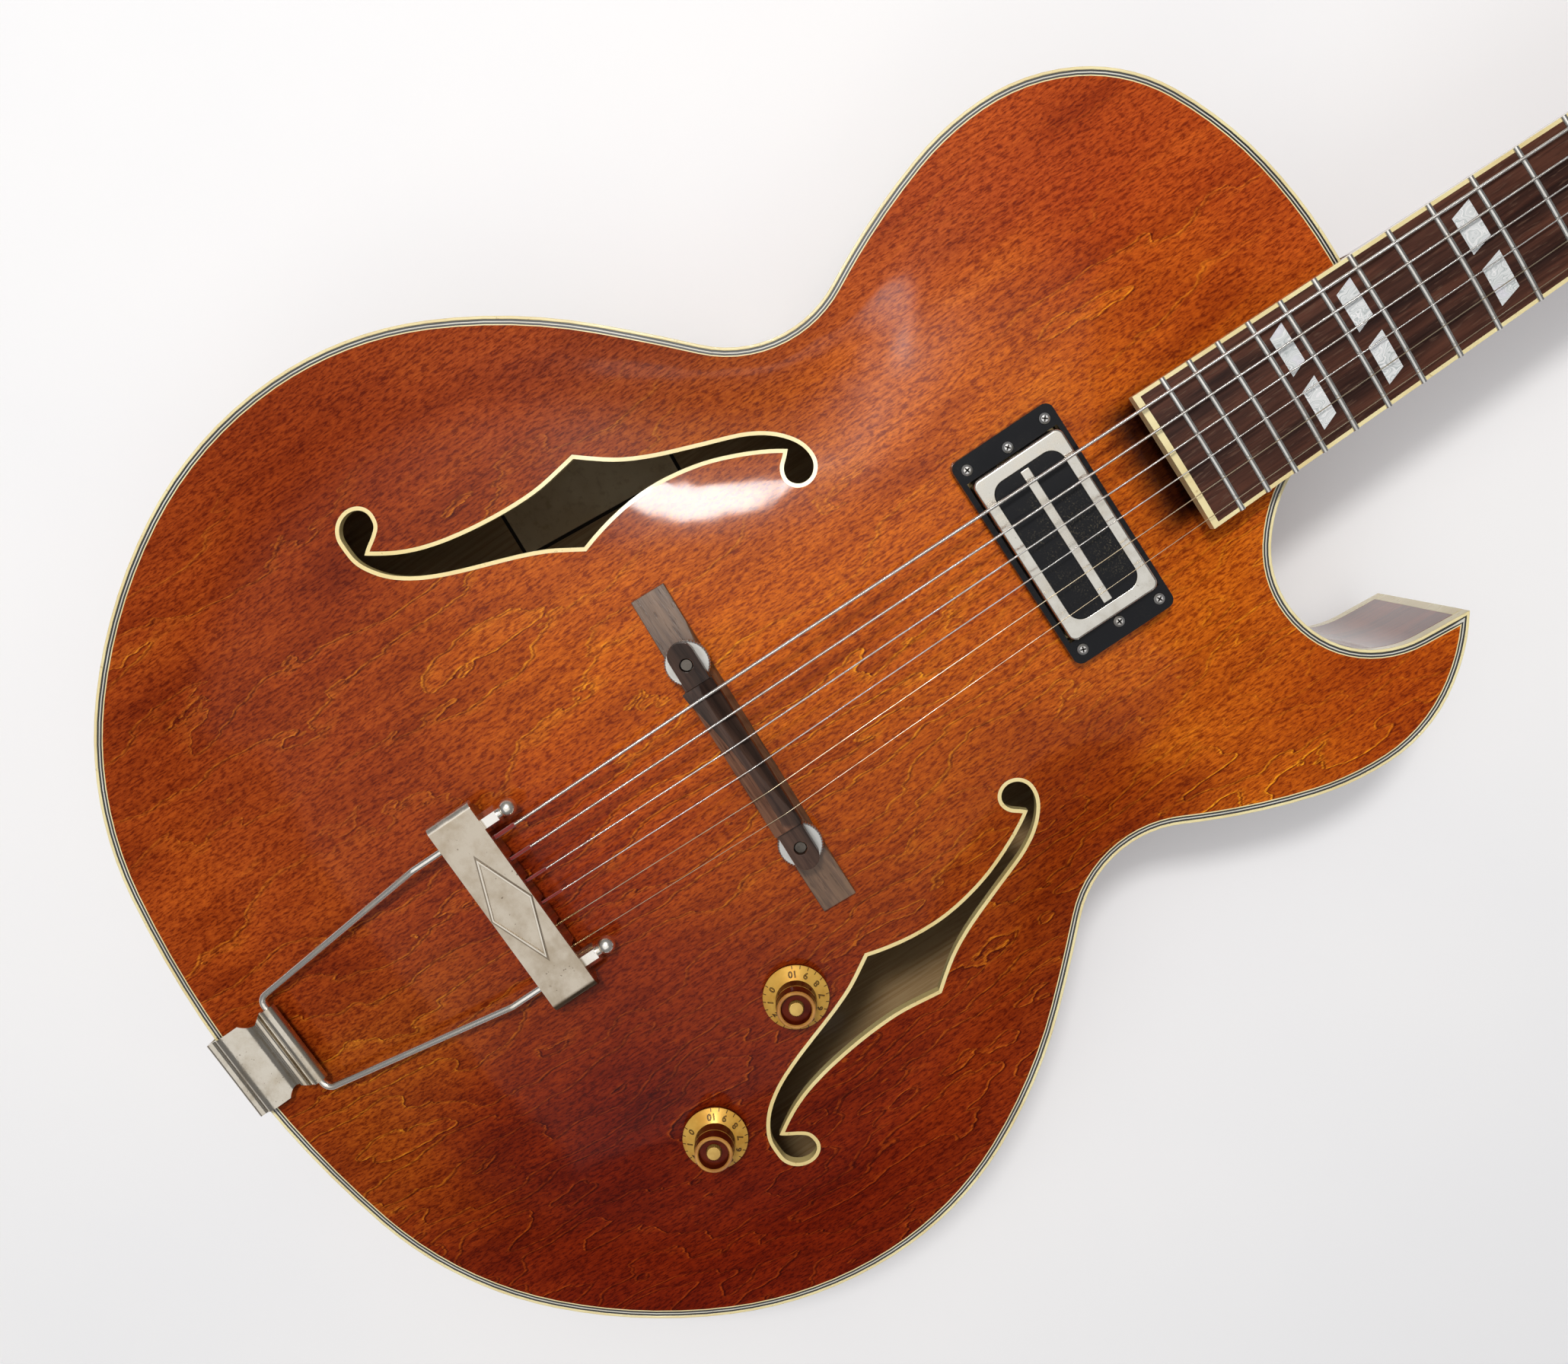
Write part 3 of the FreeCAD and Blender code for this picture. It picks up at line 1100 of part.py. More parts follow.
def upright(edge):
    box_of = edge.BoundBox
    return box_of.ZLength > 1e-6 and box_of.XLength < 1e-6 and box_of.YLength < 1e-6


def turned(label, radius, height, shares):
    """A body of revolution about its z axis from a profile of shares."""
    body = new_body(label)
    sketch = new_sketch(body, "XZ_Plane")
    points = [(radius * r if r else ZERO, height * z if z else ZERO) for r, z in shares]
    draw_polygon(sketch, points)
    feature = body.newObject("PartDesign::Revolution", "%s_turn" % label)
    feature.Profile = sketch
    feature.ReferenceAxis = (sketch, ["V_Axis"])
    feature.Angle = 360
    doc.recompute()
    return body


def hexagon(middle, radius, u, w):
    """A six-sided face about a point, in the plane of two unit vectors."""
    corners = [middle + u * (radius * math.cos(k * math.pi / 3)) + w * (radius * math.sin(k * math.pi / 3))
               for k in range(6)]
    return Part.Face(Part.makePolygon(corners + corners[:1]))


# Knobs with their potentiometers.
SHAFT_SHARE = mm.shaft_radius / (mm.knob_diameter / 2)
KNOB_SHARES = [(SHAFT_SHARE, 0.827), (0.47, 0.827), (0.47, 1.0), (0.578, 1.0), (0.625, 0.5), (0.735, 0.3),
               (1.0, 0.12), (1.0, 0.0), (0.92, 0.0), (0.66, 0.2), (0.5, 0.36), (SHAFT_SHARE, 0.36)]
saddle_text = "(-1 * (Sizes.scale_length * %.10f + Sizes.joint_past_fret))" % (2 ** (-FRET_AT_BODY / 12))
saddle_dim = Dim(saddle_line, saddle_text)
cans = []
for label, out, behind, (x, y) in (("volume_knob", size.volume_out, size.volume_behind, controls[0]),
                                   ("tone_knob", size.tone_out, size.tone_behind, controls[1])):
    share = arch_at(x, y)
    surface = mm.top_arch * share
    cap = turned("%s_cap" % label, size.knob_diameter / 2, size.knob_height, KNOB_SHARES)
    stem = doc.addObject("Part::Cylinder", "%s_shaft" % label)
    bind(stem, "Radius", size.shaft_radius)
    stem_rise = size.knob_height + size.knob_gap - size.shaft_sink
    bind(stem, "Height", stem_rise + size.plate_thickness)
    bind(stem, "Placement.Base.z", -(size.knob_gap + size.plate_thickness))
    knob = doc.addObject("Part::Compound", label)
    knob.Links = [cap, stem]
    keep(knob, label)
    stand(knob, out, saddle_dim - behind, size.top_arch * share + size.knob_gap)
    can_top = surface - mm.plate_thickness * 1.45
    can = rod(mm.pot_radius, V(x, y, can_top - mm.pot_height), V(x, y, can_top))
    sleeve = rod(mm.pot_sleeve_radius, V(x, y, can_top), V(x, y, surface + mm.pot_sleeve_rise))
    bore = rod(mm.shaft_radius + mm.shaft_clearance, V(x, y, can_top - mm.pot_height / 2),
               V(x, y, surface + mm.knob_height))
    cans.append(can.fuse(sleeve).removeSplitter().cut(bore))
    hex_nut = hexagon(V(x, y, surface + mm.pot_sleeve_rise * 0.3), mm.pot_sleeve_radius * 1.4, V(1, 0, 0),
                      V(0, 1, 0)).extrude(V(0, 0, mm.pot_sleeve_rise * 0.5))
    cans.append(hex_nut.cut(sleeve))
add("potentiometers", Part.makeCompound(cans))

# Output jack in the rim: sleeve with its socket, and the nut outside.
jack_ends = (jack_at - V(mm.jack_inside, 0, 0), jack_at + V(mm.jack_outside, 0, 0))
tube = rod(mm.jack_sleeve_radius, *jack_ends)
ring_nut = hexagon(jack_at, mm.jack_nut_radius, V(0, 1, 0), V(0, 0, 1)).extrude(V(mm.jack_nut_height, 0, 0))
add("output_jack", Part.makeCompound([tube.cut(rod(mm.jack_bore_radius, *jack_ends)), ring_nut.cut(tube)]))

# End pin at the tail, turned about an axis that points out of the tail.
hidden = mm.pin_hidden / mm.pin_length
PIN_HEAD_SHARES = [(0.5, 0.131), (0.74, 0.131), (0.74, 0.238), (0.54, 0.31), (0.54, 0.595), (0.97, 0.714),
                   (1.0, 0.833), (0.8, 0.964), (0.0, 1.0)]
pin_shares = [(0.0, -hidden), (0.5, -hidden)] + [(r, z * (1 - hidden)) for r, z in PIN_HEAD_SHARES]
pin = turned("end_pin", size.pin_radius, size.pin_length, pin_shares)
keep(pin, "end_pin")
pin.Placement = FreeCAD.Placement(V(0, 0, 0), FreeCAD.Rotation(V(1, 0, 0), 90))
stand(pin, ZERO, -size.body_length, -size.pin_height)

# Bridge: base fitted to the arch, posts, thumbwheels and a saddle that slides on the posts.
turn = FreeCAD.Rotation(V(0, 0, 1), mm.bridge_skew_angle)
bridge_at = FreeCAD.Placement(V(mm.bridge_shift, bridge_y, 0), turn)
bridge_place = frame.multiply(bridge_at)
arch_tool = doc.addObject("Part::Feature", "space_below_top")
arch_tool.Shape = below_top
arch_tool.Placement = frame


def set_on_bridge(obj, x, z):
    """Place a piece on the skewed bridge, x along the bridge."""
    obj.Placement = FreeCAD.Placement(V(0, 0, 0), turn)
    cos, sin = math.cos(math.radians(mm.bridge_skew_angle)), math.sin(math.radians(mm.bridge_skew_angle))
    stand(obj, size.bridge_shift + x * cos, saddle_dim - size.bridge_behind + x * sin, z)


blank_body = new_body("bridge_base_blank")
sketch = new_sketch(blank_body, "XZ_Plane")
half = size.base_length / 2
END_SHARE = 0.74
POST_SHARE = 0.46
draw_polygon(sketch, [(-half, ZERO), (half, ZERO), (half, size.base_top - size.base_end_drop),
                      (half * END_SHARE, size.base_top - size.base_end_drop * 0.45),
                      (half * POST_SHARE, size.base_top), (-half * POST_SHARE, size.base_top),
                      (-half * END_SHARE, size.base_top - size.base_end_drop * 0.45),
                      (-half, size.base_top - size.base_end_drop)])
pad(blank_body, sketch, size.base_width, both=True)
set_on_bridge(blank_body, ZERO, ZERO)
post_objects = []
post_foot = size.base_top - size.bridge_post_sink
for side in (-1, 1):
    post = doc.addObject("Part::Cylinder", "bridge_post")
    bind(post, "Radius", size.bridge_post_radius)
    bind(post, "Height", size.bridge_post_top - post_foot)
    set_on_bridge(post, size.post_spacing * (side / 2), post_foot)
    post_objects.append(post)
bridge_posts = doc.addObject("Part::Compound", "bridge_posts")
bridge_posts.Links = post_objects
keep(bridge_posts, "bridge_posts")
fitted = doc.addObject("Part::Cut", "bridge_base_fitted")
fitted.Base = blank_body
fitted.Tool = arch_tool
lean = math.atan2(mm.base_hollow, mm.base_hollow_fall)
hollow_radius = (mm.base_length / 2) ** 2 / (2 * mm.base_hollow * math.cos(lean))
hollow_edge = V(0, mm.base_width / 2 - mm.base_hollow, mm.base_top)
hollow_axis = hollow_edge + V(0, math.cos(lean), math.sin(lean)) * hollow_radius
hollow_run = V(0, math.sin(lean), -math.cos(lean)) * mm.base_width
hollow_tool = doc.addObject("Part::Feature", "bridge_base_hollow")
hollow_tool.Shape = rod(hollow_radius, hollow_axis - hollow_run, hollow_axis + hollow_run)
hollow_tool.Placement = bridge_place
hollowed = doc.addObject("Part::Cut", "bridge_base_hollowed")
hollowed.Base = fitted
hollowed.Tool = hollow_tool
bridge_base = doc.addObject("Part::Cut", "bridge_base")
bridge_base.Base = hollowed
bridge_base.Tool = bridge_posts
keep(bridge_base, "bridge_base")

wheel_low = size.base_top + size.wheel_gap
for label, side in (("thumbwheel_bass", -1), ("thumbwheel_treble", 1)):
    body = new_body(label)
    sketch = new_sketch(body, "XY_Plane")
    draw_circle(sketch, ZERO, ZERO, size.wheel_radius)
    draw_circle(sketch, ZERO, ZERO, size.bridge_post_radius + size.wheel_clearance)
    pad(body, sketch, size.wheel_thickness)
    keep(body, label)
    set_on_bridge(body, size.post_spacing * (side / 2), wheel_low)

saddle_low = mm.base_top + mm.wheel_gap + mm.wheel_thickness
saddle_high = saddle_top - mm.string_gap
round_end = mm.saddle_tab_width / 2
flank = mm.saddle_length / 2 - round_end
corners = [(-flank, -round_end), (flank, -round_end), (flank, round_end), (-flank, round_end)]
oblong = [[corners[0], corners[1], None, 0], [corners[1], corners[2], (flank, 0), 1],
          [corners[2], corners[3], None, 0], [corners[3], corners[0], (-flank, 0), 1]]
tabs = prism(oblong, saddle_low, saddle_low + mm.saddle_tab_height)
RIDGE_SHARES = [(-0.5, 0.0), (0.5, 0.0), (0.5, 0.52), (0.1, 1.0), (-0.12, 1.0), (-0.5, 0.7)]
tall = saddle_high - saddle_low
corners = [V(-mm.saddle_ridge_length / 2, y * mm.saddle_width, saddle_low + z * tall)
           for y, z in RIDGE_SHARES]
ridge = Part.Face(Part.makePolygon(corners + corners[:1])).extrude(V(mm.saddle_ridge_length, 0, 0))
ridge_round = rod(mm.board_radius, V(-mm.bridge_shift, -mm.saddle_length, saddle_high - mm.board_radius),
                  V(-mm.bridge_shift, mm.saddle_length, saddle_high - mm.board_radius))
saddle = tabs.fuse(ridge.common(ridge_round))
for side in (-1, 1):
    x = side * mm.post_spacing / 2
    saddle = saddle.cut(rod(mm.saddle_hole_radius, V(x, 0, 0), V(x, 0, mm.rim_depth)))
add("bridge_saddle", saddle.removeSplitter(), bridge_place)

# Tailpiece: folded crossbar, slotted string plate, trapeze wire, nuts and bracket.
bar = new_body("tailpiece_crossbar")
half = size.bar_length / 2
sketch = new_sketch(bar, "XY_Plane")
draw_rectangle(sketch, -half, half, -size.bar_width, ZERO)
pad(bar, sketch, size.bar_height)
fillet(bar, size.bar_corner, lambda e: e.BoundBox.XLength < 1e-6 and e.BoundBox.ZMin > mm.bar_height / 2)
sketch = new_sketch(bar, "XY_Plane")
draw_rectangle(sketch, -half + size.bar_wall, half - size.bar_wall, -size.bar_width + size.bar_wall, ZERO)
pocket(bar, sketch, size.bar_height - size.bar_wall, back=True)
sketch = new_sketch(bar, "XY_Plane")
draw_rectangle(sketch, -half, half, -size.bar_width + size.bar_wall, ZERO)
pocket(bar, sketch, size.bar_height - size.bar_lip, back=True)
sketch = new_sketch(bar, "XZ_Plane")
for side in (-1, 1):
    draw_circle(sketch, size.wire_half_span * side, size.bar_height / 2, size.wire_radius)
pocket(bar, sketch)
sketch = new_sketch(bar, "XY_Plane", size.bar_height)
middle = -size.bar_width / 2
for long, wide in ((size.diamond_length / 2, size.bar_width / 2 - size.bar_wall / 4),
                   (size.diamond_length / 2 - size.diamond_line * 2.6,
                    size.bar_width / 2 - size.bar_wall / 4 - size.diamond_line * 1.2)):
    draw_polygon(sketch, [(-long, middle), (ZERO, middle + wide), (long, middle), (ZERO, middle - wide)])
pad(bar, sketch, size.diamond_height)
keep(bar, "tailpiece_crossbar")
bar_front_dim = saddle_dim - size.bar_front_behind
stand(bar, ZERO, bar_front_dim, size.bar_top - size.bar_height)

plate = new_body("tailpiece_string_block")
sketch = new_sketch(plate, "XZ_Plane")
draw_rectangle(sketch, -half + size.bar_wall, half - size.bar_wall, ZERO, size.bar_height - size.bar_wall)
pad(plate, sketch, size.bar_wall)
fillet(plate, size.plate_corner, lambda e: e.BoundBox.XLength < 1e-6 and e.BoundBox.ZMax < 1e-6)
sketch = new_sketch(plate, "XZ_Plane")
for side in (-1, 1):
    draw_circle(sketch, size.wire_half_span * side, size.bar_height / 2, size.wire_radius)
pocket(plate, sketch, size.bar_wall, back=True)
places = [size.tail_span * (string_share(index) / 2) for index in range(STRINGS)]
sketch = new_sketch(plate, "XZ_Plane")
for x in places:
    draw_rectangle(sketch, x - size.plate_slot / 2, x + size.plate_slot / 2, ZERO, size.bar_height / 2)
pocket(plate, sketch, size.bar_wall, back=True)
sketch = new_sketch(plate, "XZ_Plane")
for x in places:
    draw_circle(sketch, x, size.bar_height / 2, size.plate_slot / 2)
pocket(plate, sketch, size.bar_wall, back=True)
keep(plate, "tailpiece_string_block")
stand(plate, ZERO, bar_front_dim, size.bar_top - size.bar_height)


def rounded_path(points, radius):
    """Straight runs joined by tangent arcs."""
    edges = []
    last = points[0]
    for a, b, c in zip(points[:-2], points[1:-1], points[2:]):
        u = (a - b).normalize()
        w = (c - b).normalize()
        angle = u.getAngle(w)
        cut_back = radius / math.tan(angle / 2)
        start, end = b + u * cut_back, b + w * cut_back
        centre = b + (u + w).normalize() * (radius / math.sin(angle / 2))
        halfway = centre + (b - centre).normalize() * radius
        edges.append(Part.LineSegment(last, start).toShape())
        edges.append(Part.Arc(start, halfway, end).toShape())
        last = end
    edges.append(Part.LineSegment(last, points[-1]).toShape())
    return Part.Wire(edges)


barrel_y = mm.bracket_barrel_from_tail - mm.body_length
bar_back = bar_front - mm.bar_width
turn_y = bar_back - mm.wire_straight
path = []
for side in (-1, 1):
    leg = [V(side * mm.wire_half_span, bar_front + mm.cap_hex_length / 2, bar_middle_z),
           V(side * mm.wire_half_span, turn_y, bar_middle_z),
           V(side * mm.wire_tail_half_span, barrel_y, mm.bracket_barrel_height)]
    path = leg if side < 0 else path + leg[::-1]
spine = rounded_path(path, mm.wire_bend)
profile = Part.Wire([Part.Circle(path[0], V(0, 1, 0), mm.wire_radius).toShape()])
add("tailpiece_trapeze", spine.makePipeShell([profile], True, False))
caps = []
for side in (-1, 1):
    start = V(side * mm.wire_half_span, bar_front, bar_middle_z)
    cap = hexagon(start, mm.cap_hex / math.sqrt(3), V(1, 0, 0), V(0, 0, 1))
    cap = cap.extrude(V(0, mm.cap_hex_length, 0))
    ball_at = start + V(0, mm.cap_hex_length + mm.cap_neck_length + mm.cap_ball_radius * 0.6, 0)
    ball = Part.makeSphere(mm.cap_ball_radius, ball_at)
    cap = cap.fuse([rod(mm.cap_ball_radius * 0.62, start, ball_at), ball])
    caps.append(cap.cut(rod(mm.wire_radius, start, start + V(0, mm.cap_hex_length / 2, 0))))
add("tailpiece_nuts", Part.makeCompound(caps))

barrel = V(-mm.bracket_width / 2, barrel_y, mm.bracket_barrel_height)
across = V(mm.bracket_width, 0, 0)
barrel_inner = mm.wire_radius + mm.wire_clearance
barrel_outer = barrel_inner + mm.bracket_sheet
# Bracket sheet from barrel to tail: share of the barrel's distance and height above the tail edge.
SHEET_SHARES = [(1.0, 0.69), (0.86, 0.73), (0.74, 0.64), (0.65, 0.47), (0.55, 0.41), (0.43, 0.48),
                (0.31, 0.55), (0.18, 0.48), (0.07, 0.26), (0.0, 0.0)]
flat, down = V(0, -1, 0), V(0, 0, -1)
lower = []
for along, up in SHEET_SHARES:
    y = along * mm.bracket_barrel_from_tail - mm.body_length - mm.bracket_clearance
    lower.append(V(-mm.bracket_width / 2, y, up * mm.bracket_barrel_height + mm.bracket_clearance))
under = Part.BSplineCurve()
under.interpolate(Points=lower, InitialTangent=flat, FinalTangent=down)
upper = []
for point in lower:
    run = under.tangent(under.parameter(point))[0]
    upper.append(point + V(0, run.z, -run.y) * mm.bracket_sheet)
over_curve = Part.BSplineCurve()
over_curve.interpolate(Points=upper, InitialTangent=flat, FinalTangent=down)
drop = down * mm.bracket_drop
outline_edges = [under.toShape(), over_curve.toShape()]
for a, b in ((lower[-1], lower[-1] + drop), (lower[-1] + drop, upper[-1] + drop),
             (upper[-1] + drop, upper[-1]), (upper[0], lower[0])):
    outline_edges.append(Part.LineSegment(a, b).toShape())
strap = Part.Face(Part.Wire(Part.__sortEdges__(outline_edges))).extrude(across)
rib_at = V(-mm.bracket_width / 2, barrel_y - barrel_outer * 2, lower[1].z + mm.bracket_sheet)
bracket = strap.fuse([rod(barrel_outer, barrel, barrel + across),
                      rod(mm.bracket_sheet * 1.15, rib_at, rib_at + across)])
bracket = bracket.cut(rod(barrel_inner, barrel - across, barrel + across + across))
for side in (-1, 1):
    x = side * (mm.bracket_width / 2 + mm.bracket_notch_radius - mm.bracket_notch_depth)
    y = barrel_y - barrel_outer - mm.bracket_notch_radius
    bracket = bracket.cut(rod(mm.bracket_notch_radius, V(x, y, -mm.bracket_barrel_height),
                              V(x, y, mm.bracket_barrel_height * 3)))
pin_room = rod(mm.pin_radius * 0.5, V(0, -mm.body_length, -mm.pin_height),
               V(0, -mm.body_length - mm.pin_length, -mm.pin_height))
add("tailpiece_bracket", bracket.cut(pin_room).removeSplitter())

# Pickup: ring fitted to the arch, cover, insert, blade, base plate, screws and springs.
ring = new_body("pickup_ring_blank")
sketch = new_sketch(ring, "XY_Plane")
half_x, half_y = size.ring_length / 2, size.ring_width / 2
draw_rectangle(sketch, -half_x, half_x, -half_y, half_y)
pad(ring, sketch, size.ring_foot)
fillet(ring, size.ring_corner, upright)
sketch = new_sketch(ring, "XY_Plane")
room_x = size.cover_plan_length / 2 + size.cover_gap
room_y = size.cover_plan_width / 2 + size.cover_gap
draw_rectangle(sketch, -room_x, room_x, -room_y, room_y)
pocket(ring, sketch)
sketch = new_sketch(ring, "XY_Plane")
corner_x, corner_y = half_x - size.screw_inset, half_y - size.screw_inset
height_x = half_x - size.height_screw_inset
for side in (-1, 1):
    draw_circle(sketch, height_x * side, ZERO, size.screw_radius + size.screw_clearance)
    for end in (-1, 1):
        draw_circle(sketch, corner_x * side, corner_y * end, size.screw_radius)
pocket(ring, sketch)
pickup_dim = -size.pickup_from_joint
stand(ring, ZERO, pickup_dim, size.ring_top - size.ring_foot)
pickup_ring = doc.addObject("Part::Cut", "pickup_ring")
pickup_ring.Base = ring
pickup_ring.Tool = arch_tool
keep(pickup_ring, "pickup_ring")

SCREW_SHARES = [(0.0, 1.0), (0.55, 0.95), (0.9, 0.5), (1.0, 0.0)]


def screw(x, y, top, length):
    """A round-headed screw whose head sits at the given height."""
    points = [V(x + r * mm.screw_head_radius, y, top + z * mm.screw_head_height) for r, z in SCREW_SHARES]
    tip = top - length
    points += [V(x + mm.screw_radius, y, top), V(x + mm.screw_radius, y, tip), V(x, y, tip)]
    return Part.Face(Part.makePolygon(points + points[:1])).revolve(V(x, y, 0), V(0, 0, 1), 360)


corner_screws = [screw(x, y, mm.ring_top, mm.ring_screw_length) for x, y in screw_places]
add("ring_screws", Part.makeCompound(corner_screws))
for label, side in (("height_screw_bass", -1), ("height_screw_treble", 1)):
    add(label, screw(side * height_x.value, pickup_y, mm.ring_top, mm.screw_length))

cover_high = size.ring_top + size.cover_rise
cover = new_body("pickup_cover")
sketch = new_sketch(cover, "XY_Plane")
half_x, half_y = size.cover_plan_length / 2, size.cover_plan_width / 2
draw_rectangle(sketch, -half_x, half_x, -half_y, half_y)
pad(cover, sketch, size.cover_skirt, back=True)
fillet(cover, size.cover_corner, upright)
fillet(cover, size.cover_sheet, lambda e: e.BoundBox.ZMin > -1e-6)
sketch = new_sketch(cover, "XY_Plane", -size.cover_skirt)
draw_rectangle(sketch, -half_x + size.cover_sheet * 2, half_x - size.cover_sheet * 2,
               -half_y + size.cover_sheet * 2, half_y - size.cover_sheet * 2)
pocket(cover, sketch, size.cover_skirt - size.cover_sheet, back=True)
sketch = new_sketch(cover, "XY_Plane")
win_x, win_y = size.window_length / 2, size.window_width / 2
draw_rectangle(sketch, -win_x, win_x, -win_y, win_y)
pocket(cover, sketch, size.cover_sheet * 2)
fillet(cover, size.window_corner, lambda e: upright(e) and abs(abs(e.BoundBox.XMin) - win_x.value) < 1e-3)
keep(cover, "pickup_cover")
stand(cover, ZERO, pickup_dim, cover_high)

core_body = new_body("pickup_insert")
sketch = new_sketch(core_body, "XY_Plane", -size.insert_sink)
in_x, in_y = win_x - size.window_gap, win_y - size.window_gap
draw_rectangle(sketch, -in_x, in_x, -in_y, in_y)
pad(core_body, sketch, size.cover_skirt - size.insert_sink, back=True)
fillet(core_body, size.window_corner, upright)
sketch = new_sketch(core_body, "XY_Plane")
blade_x, blade_y = size.blade_length / 2, size.blade_width / 2
draw_rectangle(sketch, -blade_x, blade_x, -blade_y, blade_y)
pocket(core_body, sketch, size.blade_depth - size.blade_rise + size.insert_sink)
keep(core_body, "pickup_insert")
stand(core_body, ZERO, pickup_dim, cover_high)

blade = new_body("pickup_blade")
sketch = new_sketch(blade, "XY_Plane", size.blade_rise - size.insert_sink)
draw_rectangle(sketch, -blade_x, blade_x, -blade_y, blade_y)
pad(blade, sketch, size.blade_depth, back=True)
keep(blade, "pickup_blade")
stand(blade, ZERO, pickup_dim, cover_high)

plate_top = cover_high.value - mm.cover_skirt
plate_low = plate_top - mm.base_plate_thickness
leg_drop = mm.cover_skirt * 0.7
base_plate = box(-half_x.value, half_x.value, pickup_y - half_y.value, pickup_y + half_y.value,
                 plate_low, plate_top)
for side in (-1, 1):
    legs = sorted((side * half_x.value, side * (half_x.value - mm.base_plate_thickness)))
    lugs = sorted((side * half_x.value, side * (half_x.value + mm.lug_reach)))
    low, high = pickup_y - mm.lug_half_width, pickup_y + mm.lug_half_width
    base_plate = base_plate.fuse([box(legs[0], legs[1], low, high, plate_low - leg_drop, plate_low),
                                  box(lugs[0], lugs[1], low, high, plate_low - leg_drop,
                                      plate_low - leg_drop + mm.base_plate_thickness)])
    x = side * height_x.value
    base_plate = base_plate.cut(rod(mm.screw_radius + mm.screw_clearance, V(x, pickup_y, -mm.rim_depth),
                                    V(x, pickup_y, mm.rim_depth)))
add("pickup_base_plate", base_plate.removeSplitter())

SPRING_TURNS = 5
springs = []
for side in (-1, 1):
    x = side * height_x.value
    low = plate_low - leg_drop + mm.base_plate_thickness + mm.spring_wire
    high = mm.top_arch * arch_at(x, pickup_y) - mm.spring_wire
    helix = Part.makeHelix((high - low) / SPRING_TURNS, high - low, mm.spring_radius - mm.spring_wire)
    start = helix.Vertexes[0].Point
    coil_face = Part.Wire([Part.Circle(start, V(0, 1, 0), mm.spring_wire).toShape()])
    coil = Part.Wire(helix.Edges).makePipeShell([coil_face], True, True)
    coil.translate(V(x, pickup_y, low))
    springs.append(coil)
add("pickup_springs", Part.makeCompound(springs))

# The finished pieces are checked and written one file each.
doc.recompute()
for obj in doc.Objects:
    if "Invalid" in obj.State or "Error" in obj.State:
        raise RuntimeError("%s did not compute" % obj.Label)
os.makedirs("parts", exist_ok=True)
for obj in pieces:
    if obj.Shape.isNull() or not obj.Shape.isValid():
        raise RuntimeError("%s has no valid shape" % obj.Label)
    obj.Shape.exportStep(os.path.join("parts", "%s.step" % obj.Label))
print(len(pieces), "pieces")
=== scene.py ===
# %% [markdown]
# This lesson dresses an archtop guitar that was designed in CAD. The CAD model is loaded
# as a fixed frame: every solid has its name, sits in metres and already has its place.
# The finished guitar must fill the same space.

# %% Load the imported guitar
import math

import bmesh
import bpy
from mathutils import Matrix, Vector
from mathutils.bvhtree import BVHTree


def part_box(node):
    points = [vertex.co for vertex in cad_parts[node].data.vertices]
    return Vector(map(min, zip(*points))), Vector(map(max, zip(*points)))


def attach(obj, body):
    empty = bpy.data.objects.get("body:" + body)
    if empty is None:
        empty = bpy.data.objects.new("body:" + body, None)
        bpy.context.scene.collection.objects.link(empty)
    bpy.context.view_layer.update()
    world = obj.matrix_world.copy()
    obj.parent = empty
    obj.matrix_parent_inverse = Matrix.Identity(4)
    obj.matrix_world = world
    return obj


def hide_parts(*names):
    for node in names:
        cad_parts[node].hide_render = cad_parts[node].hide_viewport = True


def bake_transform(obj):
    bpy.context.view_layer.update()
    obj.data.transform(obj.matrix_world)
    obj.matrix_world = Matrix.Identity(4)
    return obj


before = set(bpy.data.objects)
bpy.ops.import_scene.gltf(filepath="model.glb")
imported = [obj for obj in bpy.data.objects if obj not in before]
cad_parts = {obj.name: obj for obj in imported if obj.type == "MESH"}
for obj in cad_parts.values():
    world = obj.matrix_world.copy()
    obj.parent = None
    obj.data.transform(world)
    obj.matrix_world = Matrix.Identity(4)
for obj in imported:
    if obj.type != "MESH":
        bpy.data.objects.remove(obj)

bpy.context.view_layer.update()
MM = 0.001

# %% [markdown]
# Materials are built from shader nodes in code, so a few short helpers save a lot of typing.
# `add` makes one node and wires or sets its inputs. The others wrap the nodes that every
# finish needs: arithmetic, a soft step, a colour mix and a stretched noise. Stretching the
# noise by a Mapping node is what turns round clouds into wood grain or brush marks.

# %% Shader node helpers
def add(tree, kind, wires, **settings):
    """Add one shader node; sockets in wires are linked, plain values are set."""
    node = tree.nodes.new("ShaderNode" + kind)
    for name, value in settings.items():
        setattr(node, name, value)
    for key, value in wires.items():
        if isinstance(value, bpy.types.NodeSocket):
            tree.links.new(value, node.inputs[key])
        else:
            node.inputs[key].default_value = value
    return node


def maths(tree, operation, a, b=0.0, c=0.0):
    return add(tree, "Math", {0: a, 1: b, 2: c}, operation=operation).outputs[0]


def step(tree, value, low, high, to_low=0.0, to_high=1.0):
    wires = {"Value": value, "From Min": low, "From Max": high, "To Min": to_low, "To Max": to_high}
    return add(tree, "MapRange", wires, interpolation_type="SMOOTHSTEP").outputs[0]


def mix(tree, factor, a, b, blend="MIX"):
    node = add(tree, "Mix", {}, data_type="RGBA", blend_type=blend)
    for key, value in ((0, factor), (6, a), (7, b)):
        if isinstance(value, bpy.types.NodeSocket):
            tree.links.new(value, node.inputs[key])
        else:
            node.inputs[key].default_value = value if key == 0 else (*value, 1.0)
    return node.outputs[2]


def noise(tree, place, stretch, detail=2.0, roughness=0.5):
    scaled = add(tree, "Mapping", {"Vector": place, "Scale": stretch}).outputs[0]
    wires = {"Vector": scaled, "Scale": 1.0, "Detail": detail, "Roughness": roughness}
    return add(tree, "TexNoise", wires).outputs[0]


